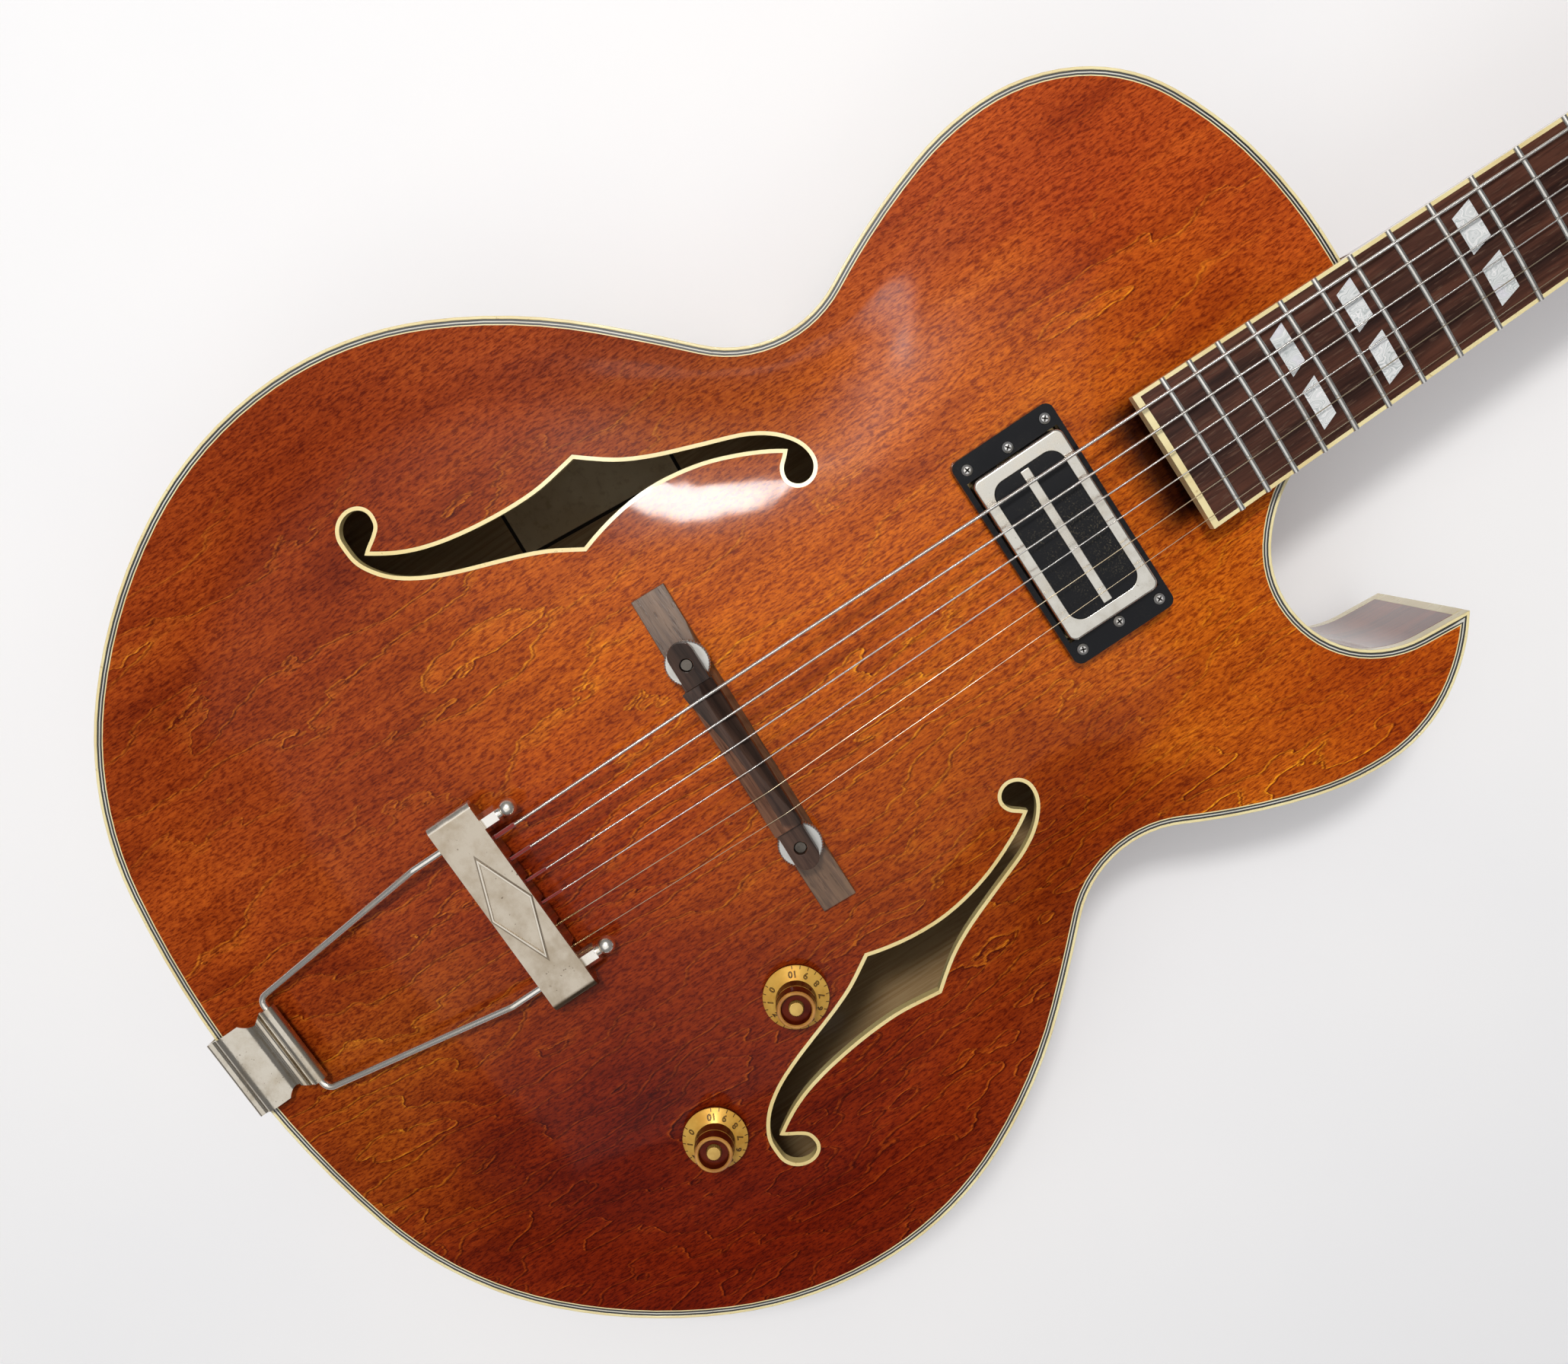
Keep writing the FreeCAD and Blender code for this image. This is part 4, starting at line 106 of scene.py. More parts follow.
def new_group(name, inputs, outputs):
    """A shader node group with named sockets; returns it with its entry and exit sockets."""
    group = bpy.data.node_groups.new(name, "ShaderNodeTree")
    for label, kind, value in inputs:
        socket = group.interface.new_socket(label, in_out="INPUT", socket_type="NodeSocket" + kind)
        if value is not None:
            socket.default_value = value
    for label in outputs:
        group.interface.new_socket(label, in_out="OUTPUT", socket_type="NodeSocketFloat")
    return group, group.nodes.new("NodeGroupInput").outputs, group.nodes.new("NodeGroupOutput").inputs


def new_finish(name, **plain):
    """A material whose constant values are set on the shader's own sockets."""
    finish = bpy.data.materials.new(name)
    finish.use_nodes = True
    tree = finish.node_tree
    shader = tree.nodes["Principled BSDF"]
    for label, value in plain.items():
        shader.inputs[label.replace("_", " ").title().replace("Ior", "IOR")].default_value = value
    place = add(tree, "TexCoord", {}).outputs["Object"]
    return finish, tree, shader, place


def feed(tree, shader, **wires):
    for label, socket in wires.items():
        tree.links.new(socket, shader.inputs[label.replace("_", " ").title()])


def bump(tree, shader, height, strength, distance):
    made = add(tree, "Bump", {"Height": height, "Strength": strength, "Distance": distance})
    tree.links.new(made.outputs[0], shader.inputs["Normal"])


def dress(finish, *nodes):
    """Give a finish to nodes that keep their CAD form."""
    for node in nodes:
        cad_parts[node].data.materials[0] = finish


print("helpers ready")

# %% [markdown]
# The top and the back are laminated maple, peeled from the log like paper from a roll. Such a
# veneer shows three things at once: contour lines, where a year ring meets the surface at a
# flat angle; fine flecks along the grain; and blotches where the stain sank in. A contour line
# is the place where a slowly wandering field passes a whole number. The group works the field
# out at a place and a little to each side of it. Where a whole number lies between, it draws a
# bright line on one side and a dark line on the other, so both are equally thin everywhere.

# %% Group: maple grain
grain, given, made = new_group(
    "maple_grain",
    [("Vector", "Vector", None), ("Rings", "Float", 26.0), ("Wander", "Float", 9.0)],
    ["Blotch", "Dark Side", "Bright Line", "Dark Line", "Flecks", "Streaks"])
place = given["Vector"]
axes = add(grain, "SeparateXYZ", {0: place}).outputs


def year_rings(spot):
    """A field that rises by one from ring to ring, bent by noise that is long in the grain."""
    across = add(grain, "SeparateXYZ", {0: spot}).outputs[0]
    broad = noise(grain, spot, (5.0, 0.9, 5.0), 1.0)
    middle = noise(grain, spot, (44.0, 13.0, 44.0), 3.0, 0.5)
    ragged = noise(grain, spot, (280.0, 120.0, 280.0), 2.0, 0.6)
    wild = maths(grain, "MULTIPLY", given["Wander"], step(grain, across, -0.02, 0.12, 0.30, 0.75))
    field = maths(grain, "MULTIPLY", across, given["Rings"])
    field = maths(grain, "MULTIPLY_ADD", broad, given["Wander"], field)
    field = maths(grain, "MULTIPLY_ADD", middle, wild, field)
    return maths(grain, "MULTIPLY_ADD", ragged, 0.30, field)


def crossing(shift):
    """One where a whole number lies between the field here and the field a little aside."""
    aside = year_rings(add(grain, "VectorMath", {0: place, 1: shift}, operation="ADD").outputs[0])
    passed = maths(grain, "SUBTRACT", maths(grain, "FLOOR", aside), maths(grain, "FLOOR", here))
    return maths(grain, "MINIMUM", maths(grain, "ABSOLUTE", passed), 1.0)


here = year_rings(place)
LINE = Vector((0.0005, 0.0007, 0.0))
bright, dark = crossing(LINE), crossing(-LINE)
ring = maths(grain, "FRACT", here)
share = maths(grain, "MULTIPLY_ADD", axes[0], 1.1, noise(grain, place, (13.0, 5.0, 13.0), 2.0))
share = maths(grain, "MULTIPLY_ADD", axes[1], -0.3, share)
seen = step(grain, share, 0.40, 0.66)
grain.links.new(noise(grain, place, (52.0, 17.0, 52.0), 2.5, 0.55), made["Blotch"])
grain.links.new(maths(grain, "MULTIPLY", step(grain, ring, 0.30, 1.0), seen), made["Dark Side"])
glow = maths(grain, "MAXIMUM", bright, step(grain, ring, 0.16, 0.0, 0.0, 0.30))
grain.links.new(maths(grain, "MULTIPLY", glow, seen), made["Bright Line"])
grain.links.new(maths(grain, "MULTIPLY", dark, seen), made["Dark Line"])
grain.links.new(noise(grain, place, (1350.0, 340.0, 900.0), 3.0, 0.65), made["Flecks"])
grain.links.new(noise(grain, place, (760.0, 14.0, 300.0), 3.0, 0.6), made["Streaks"])
print("maple_grain outputs:", [socket.name for socket in made][:-1])

# %% [markdown]
# The top is stained by hand: amber in a slanted oval, redder towards the tail and the bass side,
# and deep brown in the lower treble corner. Each zone is a soft mask of the place, and a noise
# makes its border uneven. A list of soft patches, each with its place, reach and tint, makes the
# colour lighter or darker; comparing render and photograph set them. Under the fingerboard's end
# a dark mask paints a shadow into the stain.
#
# The back is darkest in the middle, and there the height of the arch is the mask. All the grain
# effects multiply the stain colour, so they stay in tune with it. Over the wood lies a clear
# lacquer, which is the shader's coat: its normal stays smooth while the wood below has a fine
# relief. The coat is full on the crown and thin lower down, where the photograph shows no lamp
# in it. Inside the box the wood is bare, and there the normal points inwards.

# %% Finish: stained maple for the arched plates
TONE_PATCHES = [(-0.108, -0.222, 0.045, (0.70, 0.64, 0.67)), (0.105, -0.185, 0.030, (0.66, 0.48, 0.50)),
          (0.135, -0.065, 0.040, (0.74, 0.55, 0.50)), (0.085, -0.420, 0.040, (0.70, 0.40, 0.36)),
          (0.055, -0.452, 0.050, (1.40, 2.20, 1.70)), (0.148, -0.290, 0.040, (1.28, 1.42, 1.38)),
          (-0.075, -0.060, 0.045, (0.86, 0.72, 0.70)), (-0.180, -0.355, 0.045, (0.80, 0.70, 0.72)),
          (0.000, -0.345, 0.045, (0.96, 0.77, 0.80)), (-0.060, -0.490, 0.030, (1.28, 1.45, 1.38))]
CROWN = 0.106
AMBER, DEEP_BROWN = (0.575, 0.117, 0.0055), (0.185, 0.0120, 0.0010)
TAIL_RED, NECK_RED = (0.338, 0.050, 0.0052), (0.470, 0.070, 0.0080)


def front_stain(tree, place, cloud):
    across, along, _ = add(tree, "SeparateXYZ", {0: place}).outputs

    def slanted(by_across, by_along, shift):
        lengthwise = maths(tree, "MULTIPLY_ADD", along, by_along, shift)
        return maths(tree, "MULTIPLY_ADD", across, by_across, lengthwise)

    ahead, aside = slanted(2.13, 3.20, 0.31), slanted(5.93, -3.96, -0.79)
    far = maths(tree, "MULTIPLY_ADD", ahead, ahead, maths(tree, "MULTIPLY", aside, aside))
    far = maths(tree, "MULTIPLY_ADD", cloud, 0.9, far)
    side = mix(tree, step(tree, along, -0.24, -0.04), TAIL_RED, NECK_RED)
    colour = mix(tree, step(tree, far, 0.75, 1.9), AMBER, side)
    corner = maths(tree, "MULTIPLY_ADD", cloud, 0.08, slanted(1.08, -0.18, 0.064))
    deep = maths(tree, "MULTIPLY", step(tree, corner, 0.09, 0.37), step(tree, along, -0.10, -0.22))
    off = maths(tree, "ABSOLUTE", maths(tree, "MULTIPLY_ADD", ahead, 0.26, 0.17))
    deep = maths(tree, "MULTIPLY", deep, step(tree, off, 0.19, 0.04, 0.55, 1.0))
    colour = mix(tree, deep, colour, DEEP_BROWN)
    for x, y, reach, tint in TONE_PATCHES:
        near = add(tree, "VectorMath", {0: place, 1: (x, y, CROWN)}, operation="DISTANCE")
        near = maths(tree, "MULTIPLY_ADD", cloud, -0.06, near.outputs["Value"])
        colour = mix(tree, step(tree, near, reach, -0.02), colour, tint, "MULTIPLY")
    # Painted shadow: under the fingerboard's end the stain is darkened almost to black.
    under = maths(tree, "MULTIPLY", step(tree, along, -0.108, -0.090), step(tree, along, -0.070, -0.082))
    between = maths(tree, "MULTIPLY", step(tree, across, -0.033, -0.022), step(tree, across, 0.031, 0.020))
    shade = maths(tree, "MULTIPLY", maths(tree, "MULTIPLY", under, between), 0.97)
    return mix(tree, shade, colour, (0.03, 0.02, 0.02), "MULTIPLY")


def back_stain(tree, place, cloud):
    height = add(tree, "SeparateXYZ", {0: place}).outputs[2]
    middle = step(tree, maths(tree, "MULTIPLY_ADD", cloud, 0.006, height), 0.0045, 0.0185)
    return mix(tree, middle, (0.30, 0.055, 0.010), (0.155, 0.018, 0.004))


def stained_maple(name, wood, stain, inside, lacquer):
    """Maple under lacquer.

    stain gives the colour, and inside is the sign of the normal that points into the box. The
    coat becomes full between the first two numbers of lacquer, which are heights, and a thin
    coat begins between the last two, which are places along the body.
    """
    finish, tree, shader, place = new_finish(
        name, roughness=0.42, specular_ior_level=0.05, coat_roughness=0.08, coat_ior=1.2)
    made = add(tree, "Group", {"Vector": place, **wood}, node_tree=grain).outputs
    _, along, height = add(tree, "SeparateXYZ", {0: place}).outputs
    colour = stain(tree, place, noise(tree, place, (9.0, 6.0, 9.0), 3.0, 0.55))
    sunk = step(tree, made["Blotch"], 0.50, 0.72, 0.0, 0.65)
    colour = mix(tree, sunk, colour, (0.64, 0.48, 0.42), "MULTIPLY")
    lit = step(tree, made["Blotch"], 0.46, 0.30, 0.0, 0.65)
    colour = mix(tree, lit, colour, (1.2, 1.42, 1.3), "MULTIPLY")
    streaked = step(tree, made["Streaks"], 0.44, 0.68, 0.0, 0.75)
    colour = mix(tree, streaked, colour, (0.70, 0.56, 0.50), "MULTIPLY")
    shaded = maths(tree, "MULTIPLY", made["Dark Side"], 0.55)
    colour = mix(tree, shaded, colour, (0.60, 0.44, 0.38), "MULTIPLY")
    colour = mix(tree, made["Bright Line"], colour, (1.6, 2.8, 2.3), "MULTIPLY")
    lined = maths(tree, "MULTIPLY", made["Dark Line"], 0.8)
    colour = mix(tree, lined, colour, (0.40, 0.28, 0.25), "MULTIPLY")
    pores = step(tree, made["Flecks"], 0.49, 0.62)
    colour = mix(tree, maths(tree, "MULTIPLY", pores, 0.95), colour, (0.50, 0.35, 0.32), "MULTIPLY")
    pale = step(tree, made["Flecks"], 0.49, 0.36)
    colour = mix(tree, pale, colour, (1.25, 1.42, 1.32), "MULTIPLY")
    facing = add(tree, "SeparateXYZ", {0: add(tree, "TexCoord", {}).outputs["Normal"]}).outputs[2]
    bare = step(tree, maths(tree, "MULTIPLY", facing, inside), 0.2, 0.5)
    raw = mix(tree, step(tree, made["Streaks"], 0.35, 0.7), (0.50, 0.34, 0.17), (0.38, 0.23, 0.10))
    full = step(tree, height, *lacquer[:2], 0.02, 1.0)
    thin = step(tree, along, *lacquer[2:], 0.0, 0.12)
    feed(tree, shader, base_color=mix(tree, bare, colour, raw),
         coat_weight=maths(tree, "MAXIMUM", full, thin))
    relief = maths(tree, "MULTIPLY_ADD", pores, -0.5, made["Bright Line"])
    bump(tree, shader, relief, 0.22, 0.0003)
    return finish


burst_maple = stained_maple("burst_maple", {"Rings": 40.0, "Wander": 11.0}, front_stain, -1.0,
                            (0.1028, 0.1067, -0.165, -0.135))
back_maple = stained_maple("back_maple", {"Rings": 30.0, "Wander": 7.0}, back_stain, 1.0,
                           (0.0170, 0.0120, 0.5, 0.6))
dress(burst_maple, "top_plate")
dress(back_maple, "back_plate")
print("top and back:", burst_maple.name, back_maple.name)

# %% [markdown]
# Most pieces keep the form of their CAD node, but a real edge is never perfectly sharp: it has
# been sanded, filed or moulded, and it catches the light. `worked_copy` copies a node, merges
# its loose triangles, clears the flat faces of needless edges and bevels what is sharp.
# `finish_piece` then turns the bmesh into a piece that rides on its body. `skin_of` makes a
# node's surface ready for the two questions asked later: what is nearest, and what does a ray hit.

# %% Helpers: worked copies and finished pieces
def worked_copy(node, ease=0.0, steps=2, sharp=40.0):
    shape = bmesh.new()
    shape.from_mesh(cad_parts[node].data)
    bmesh.ops.remove_doubles(shape, verts=shape.verts, dist=0.02 * MM)
    bmesh.ops.dissolve_limit(shape, angle_limit=math.radians(0.5), verts=shape.verts, edges=shape.edges)
    if ease:
        crisp = [e for e in shape.edges if e.is_manifold and e.calc_face_angle() > math.radians(sharp)]
        bmesh.ops.bevel(shape, geom=crisp, offset=ease, offset_type="OFFSET", segments=steps,
                        profile=0.5, affect="EDGES", clamp_overlap=True, material=-1)
    return shape


def skin_of(node):
    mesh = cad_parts[node].data
    return BVHTree.FromPolygons([v.co for v in mesh.vertices], [p.vertices for p in mesh.polygons])


def finish_piece(name, shape, finishes, body, stands_for=(), smooth=50.0, stretch=None):
    mesh = bpy.data.meshes.new(name)
    shape.to_mesh(mesh)
    shape.free()
    if "custom_normal" in mesh.attributes:
        mesh.attributes.remove(mesh.attributes["custom_normal"])
    for finish in finishes:
        mesh.materials.append(finish)
    mesh.shade_smooth()
    mesh.set_sharp_from_angle(angle=math.radians(smooth))
    piece = bpy.data.objects.new(name, mesh)
    bpy.context.scene.collection.objects.link(piece)
    even = piece.modifiers.new("even_normals", "WEIGHTED_NORMAL")
    even.keep_sharp = True
    if stretch:
        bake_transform(piece)
    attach(piece, body)
    if stands_for:
        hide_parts(*stands_for)
    print("piece:", name, len(mesh.polygons), "faces")


def eased_piece(name, node, ease, finish, body, smooth=50.0, steps=2):
    """A copy of a node with edges eased by some millimetres; it stands for the node."""
    finish_piece(name, worked_copy(node, ease * MM, steps), [finish], body, [node], smooth)


# %% [markdown]
# The sides are bent strips of the same maple, stained dark. Their grain runs around the body,
# so the noise is stretched in every direction except upwards. The inner faces are bare wood.
# One function makes plain wood, and the neck uses it later. A face belongs to the inside if a
# point just off it has the top plate above it, and a ray cast straight up answers that question.

# %% Finish and piece: the bent sides
def plain_wood(name, figure, hair, colours, dark_hair, depth, curl=None, **plain):
    """Wood with a broad figure and fine dark hair, each a stretched noise."""
    finish, tree, shader, place = new_finish(name, **plain)
    along = noise(tree, place, figure, 4.0, 0.6)
    fine = noise(tree, place, hair, 2.0, 0.6)
    colour = mix(tree, step(tree, along, 0.34, 0.66), *colours)
    begins, share, tint = dark_hair
    colour = mix(tree, step(tree, fine, begins, 0.70, 0.0, share), colour, tint, "MULTIPLY")
    if curl:
        wavy = step(tree, noise(tree, place, curl, 2.0, 0.5), 0.40, 0.62, 0.0, 0.45)
        colour = mix(tree, wavy, colour, (1.5, 1.7, 1.6), "MULTIPLY")
    feed(tree, shader, base_color=colour)
    bump(tree, shader, fine, depth, 0.0003)
    return finish


side_finish = plain_wood(
    "side_maple", (7.0, 7.0, 95.0), (70.0, 70.0, 1300.0),
    ((0.235, 0.040, 0.010), (0.125, 0.016, 0.005)), (0.52, 0.7, (0.5, 0.38, 0.36)), 0.12,
    curl=(95.0, 95.0, 9.0), roughness=0.36, specular_ior_level=0.3,
    coat_weight=1.0, coat_roughness=0.05, coat_ior=1.42)
bare_finish = plain_wood(
    "bare_wood", (60.0, 8.0, 60.0), (900.0, 45.0, 900.0),
    ((0.52, 0.36, 0.19), (0.38, 0.24, 0.11)), (0.50, 0.6, (0.68, 0.6, 0.5)), 0.25,
    roughness=0.72, specular_ior_level=0.25)
above = skin_of("top_plate")
HALF_DEEP = 50.0 * MM
shape = worked_copy("rim")
for face in shape.faces:
    off = face.calc_center_median() + 4.0 * MM * face.normal
    roof = above.ray_cast(Vector((off.x, off.y, HALF_DEEP)), Vector((0, 0, 1)))[0]
    face.material_index = 1 if roof else 0
finish_piece("sides", shape, [side_finish, bare_finish], "guitar", ["rim"], 30.0)

# %% [markdown]
# Binding is a strip of cream plastic that protects the edges. It yellows unevenly with age, and
# dirt settles in its corners. The lines beside it are thin plastic too: black, white, black and
# cream. In CAD they are four rings in one node, so each face of the copy is sorted by its
# distance from the binding: the nearest line is black, the next white, and so on. The copy is
# not merged, because merging would join the rings where they touch. Two borders between the
# lines then move a little, because the photograph shows the first black line wider than the
# white one.

# %% Finishes and pieces: binding and purfling
def aged_plastic(name, fresh, old, dirt=0.5):
    finish, tree, shader, place = new_finish(
        name, roughness=0.30, specular_ior_level=0.4,
        coat_weight=1.0, coat_roughness=0.06, coat_ior=1.4)
    stain = noise(tree, place, (28.0, 28.0, 60.0), 4.0, 0.6)
    specks = step(tree, noise(tree, place, (520.0, 520.0, 520.0), 2.0, 0.6), 0.66, 0.76, 0.0, dirt)
    colour = mix(tree, step(tree, stain, 0.36, 0.68), fresh, old)
    colour = mix(tree, specks, colour, (0.55, 0.42, 0.28), "MULTIPLY")
    feed(tree, shader, base_color=colour, roughness=step(tree, stain, 0.3, 0.7, 0.24, 0.38))
    return finish


cream = aged_plastic("cream_binding", (0.90, 0.79, 0.43), (0.79, 0.64, 0.31))
white_line = aged_plastic("white_line", (0.72, 0.70, 0.62), (0.56, 0.53, 0.44))
black_line = aged_plastic("black_line", (0.006, 0.006, 0.006), (0.012, 0.010, 0.009))
for node, ease in (("top_binding", 0.35), ("back_binding", 0.35), ("horn_binding", 0.2)):
    eased_piece(node + "_strip", node, ease, cream, "guitar", 60.0)
dress(cream, "fingerboard_binding")
yellow = aged_plastic("yellow_binding", (0.95, 0.79, 0.38), (0.86, 0.67, 0.28))
dress(yellow, "f_hole_bindings")

border = skin_of("top_binding")
LINE_ENDS = (0.52 * MM, 1.42 * MM, 1.84 * MM)
MOVES = ((0.3, 0.6, 0.68), (1.2, 1.5, 1.12))
shape = bmesh.new()
shape.from_mesh(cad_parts["top_purfling"].data)
for face in shape.faces:
    gap = border.find_nearest(face.calc_center_median())[3]
    face.material_index = sum(gap >= end for end in LINE_ENDS)
for corner in shape.verts:
    nearest, _, _, gap = border.find_nearest(corner.co)
    for low, high, wanted in MOVES:
        if low < gap / MM < high:
            corner.co = nearest + (corner.co - nearest) * (wanted * MM / gap)
print("purfling faces:", [sum(f.material_index == n for f in shape.faces) for n in range(4)])
finish_piece("edge_lines", shape, [black_line, white_line, black_line, cream], "guitar",
             ["top_purfling"], 30.0)

# %% [markdown]
# Rosewood is dark, open-pored and streaked along its length. The fingerboard is cut from it, and
# so is the bridge, where the foot has become lighter than the saddle. One group gives streaks and
# pores, and each piece chooses its own colours and its own grain direction. The saddle's rear has
# a redder colour: partly the wood's own, partly a painted reflection of the red top. The ridge of
# the saddle leans by a few millimetres over its length, because thick strings must be longer to sound in
# tune.

# %% Group and finishes: rosewood
rose, given, made = new_group("rosewood_grain", [("Vector", "Vector", None)], ["Streak", "Fine", "Pores"])
rose.links.new(noise(rose, given["Vector"], (120.0, 4.0, 80.0), 4.0, 0.6), made["Streak"])
rose.links.new(noise(rose, given["Vector"], (700.0, 24.0, 500.0), 3.0, 0.65), made["Fine"])
pores = noise(rose, given["Vector"], (1000.0, 95.0, 1000.0), 2.0, 0.6)
rose.links.new(step(rose, pores, 0.57, 0.69), made["Pores"])


def rosewood(name, dark, warm, pore, turn=0.0, polish=0.42, coat=0.25, gloss=0.4, rear_reflection=None):
    finish, tree, shader, place = new_finish(
        name, roughness=polish, specular_ior_level=gloss,
        coat_weight=coat, coat_roughness=0.22, coat_ior=1.4)
    turned = add(tree, "Mapping", {"Vector": place, "Rotation": (0.0, 0.0, turn)}).outputs[0]
    made = add(tree, "Group", {"Vector": turned}, node_tree=rose).outputs
    colour = mix(tree, step(tree, made["Streak"], 0.36, 0.66), dark, warm)
    if rear_reflection:
        # Painted reflection: faces turned towards the tail take a redder colour, as if mirroring the top.
        facing = add(tree, "SeparateXYZ", {0: add(tree, "TexCoord", {}).outputs["Normal"]}).outputs[1]
        colour = mix(tree, step(tree, facing, -0.05, -0.35), colour, rear_reflection)
    veined = step(tree, made["Fine"], 0.42, 0.66, 0.0, 0.7)
    colour = mix(tree, veined, colour, (0.45, 0.42, 0.45), "MULTIPLY")
    colour = mix(tree, maths(tree, "MULTIPLY", made["Pores"], 0.5), colour, pore)
    wear = noise(tree, place, (35.0, 35.0, 35.0), 3.0)
    feed(tree, shader, base_color=colour,
         roughness=step(tree, wear, 0.3, 0.7, polish - 0.08, polish + 0.12))
    bump(tree, shader, maths(tree, "SUBTRACT", made["Fine"], made["Pores"]), 0.3, 0.0003)
    return finish


QUARTER = math.pi / 2
board_wood = rosewood(
    "board_rosewood", (0.034, 0.014, 0.010), (0.110, 0.040, 0.024), (0.13, 0.07, 0.045),
    coat=0.1, gloss=0.12)
base_wood = rosewood(
    "base_rosewood", (0.120, 0.064, 0.034), (0.200, 0.112, 0.062), (0.05, 0.026, 0.015),
    turn=QUARTER, polish=0.34, coat=0.6)
saddle_wood = rosewood(
    "saddle_rosewood", (0.030, 0.017, 0.012), (0.095, 0.050, 0.034), (0.02, 0.012, 0.01),
    turn=QUARTER, polish=0.36, coat=0.15, gloss=0.15, rear_reflection=(0.210, 0.100, 0.060))
dress(board_wood, "fingerboard")
eased_piece("bridge_foot", "bridge_base", 0.35, base_wood, "guitar")
LEAN, BRIDGE_MIDDLE = 0.10, 0.8
RIDGE_FOOT, RIDGE_RISE = 134.6, 1.2
shape = worked_copy("bridge_saddle", 0.25 * MM)
for corner in shape.verts:
    rise = (corner.co.z / MM - RIDGE_FOOT) / RIDGE_RISE
    corner.co.y += LEAN * (corner.co.x - BRIDGE_MIDDLE * MM) * min(max(rise, 0.0), 1.0)
finish_piece("bridge_top", shape, [saddle_wood], "bridge_saddle", ["bridge_saddle"], 25.0)

# %% [markdown]
# The metal is old nickel plate: warm, mostly bright, clouded by tarnish and dotted with small
# dark pits where the plating failed. Steel, fret wire and the pale thumbwheels differ only in
# colour and in how much of each flaw they show, so one group serves them all. The crossbar has
# a diamond pressed into its middle; a painted highlight beside a painted shade line marks its
# edge. The treble end of the bar has painted shade and the bass end a painted highlight. The
# string plate is tinted brown and darkened, a painted reflection of the wood around it.

# %% Group and finishes: metals
flaws, given, made = new_group(
    "metal_flaws", [("Vector", "Vector", None)], ["Tarnish", "Pits", "Scratches"])
flaws.links.new(noise(flaws, given["Vector"], (85.0, 85.0, 85.0), 5.0, 0.62), made["Tarnish"])
pocks = step(flaws, noise(flaws, given["Vector"], (820.0, 820.0, 820.0), 1.0), 0.70, 0.77)
worn = step(flaws, noise(flaws, given["Vector"], (60.0, 60.0, 60.0)), 0.42, 0.6)
flaws.links.new(maths(flaws, "MULTIPLY", pocks, worn), made["Pits"])
flaws.links.new(noise(flaws, given["Vector"], (190.0, 2600.0, 900.0), 2.0), made["Scratches"])


def metal(name, bright, dull, smooth=0.16, cloud=0.22, pits=0.8, scratch=0.05):
    finish, tree, shader, place = new_finish(name, metallic=1.0)
    made = add(tree, "Group", {"Vector": place}, node_tree=flaws).outputs
    tarnish = step(tree, made["Tarnish"], 0.40, 0.70)
    colour = mix(tree, tarnish, bright, dull)
    colour = mix(tree, maths(tree, "MULTIPLY", made["Pits"], pits), colour, (0.16, 0.12, 0.09))
    rough = maths(tree, "MULTIPLY_ADD", tarnish, cloud, smooth)
    rough = maths(tree, "MULTIPLY_ADD", made["Pits"], 0.25 * pits, rough)
    feed(tree, shader, base_color=colour, roughness=rough)
    relief = maths(tree, "MULTIPLY_ADD", made["Pits"], -2.0, made["Scratches"])
    bump(tree, shader, relief, scratch, 0.0002)
    return finish


nickel = metal("old_nickel", (0.80, 0.73, 0.62), (0.56, 0.47, 0.36))
cover_nickel = metal("cover_nickel", (0.72, 0.69, 0.62), (0.52, 0.48, 0.41), 0.14, 0.22, 0.35)
fret_metal = metal("fret_nickel", (0.72, 0.71, 0.67), (0.54, 0.51, 0.47), 0.20, 0.14, 0.2)
dark_steel = metal("dark_steel", (0.16, 0.14, 0.12), (0.07, 0.06, 0.05), 0.25, 0.2, 0.4)
bracket_nickel = metal("bracket_nickel", (0.70, 0.64, 0.54), (0.50, 0.43, 0.33), 0.14, 0.18)
steel = metal("bright_steel", (0.72, 0.71, 0.69), (0.50, 0.47, 0.43), 0.20, 0.2, 0.4)
pale_metal = metal("pale_alloy", (0.56, 0.55, 0.52), (0.42, 0.41, 0.38), 0.30, 0.16, 0.2, 0.12)
brass = metal("dull_brass", (0.62, 0.46, 0.22), (0.42, 0.30, 0.14), 0.28, 0.2, 0.3)
wire_nickel = metal("wire_nickel", (0.97, 0.93, 0.86), (0.84, 0.77, 0.66), 0.20, 0.12, 0.5)
DIAMOND_WIDE, DIAMOND_HIGH = 23.5 * MM, 8.9 * MM


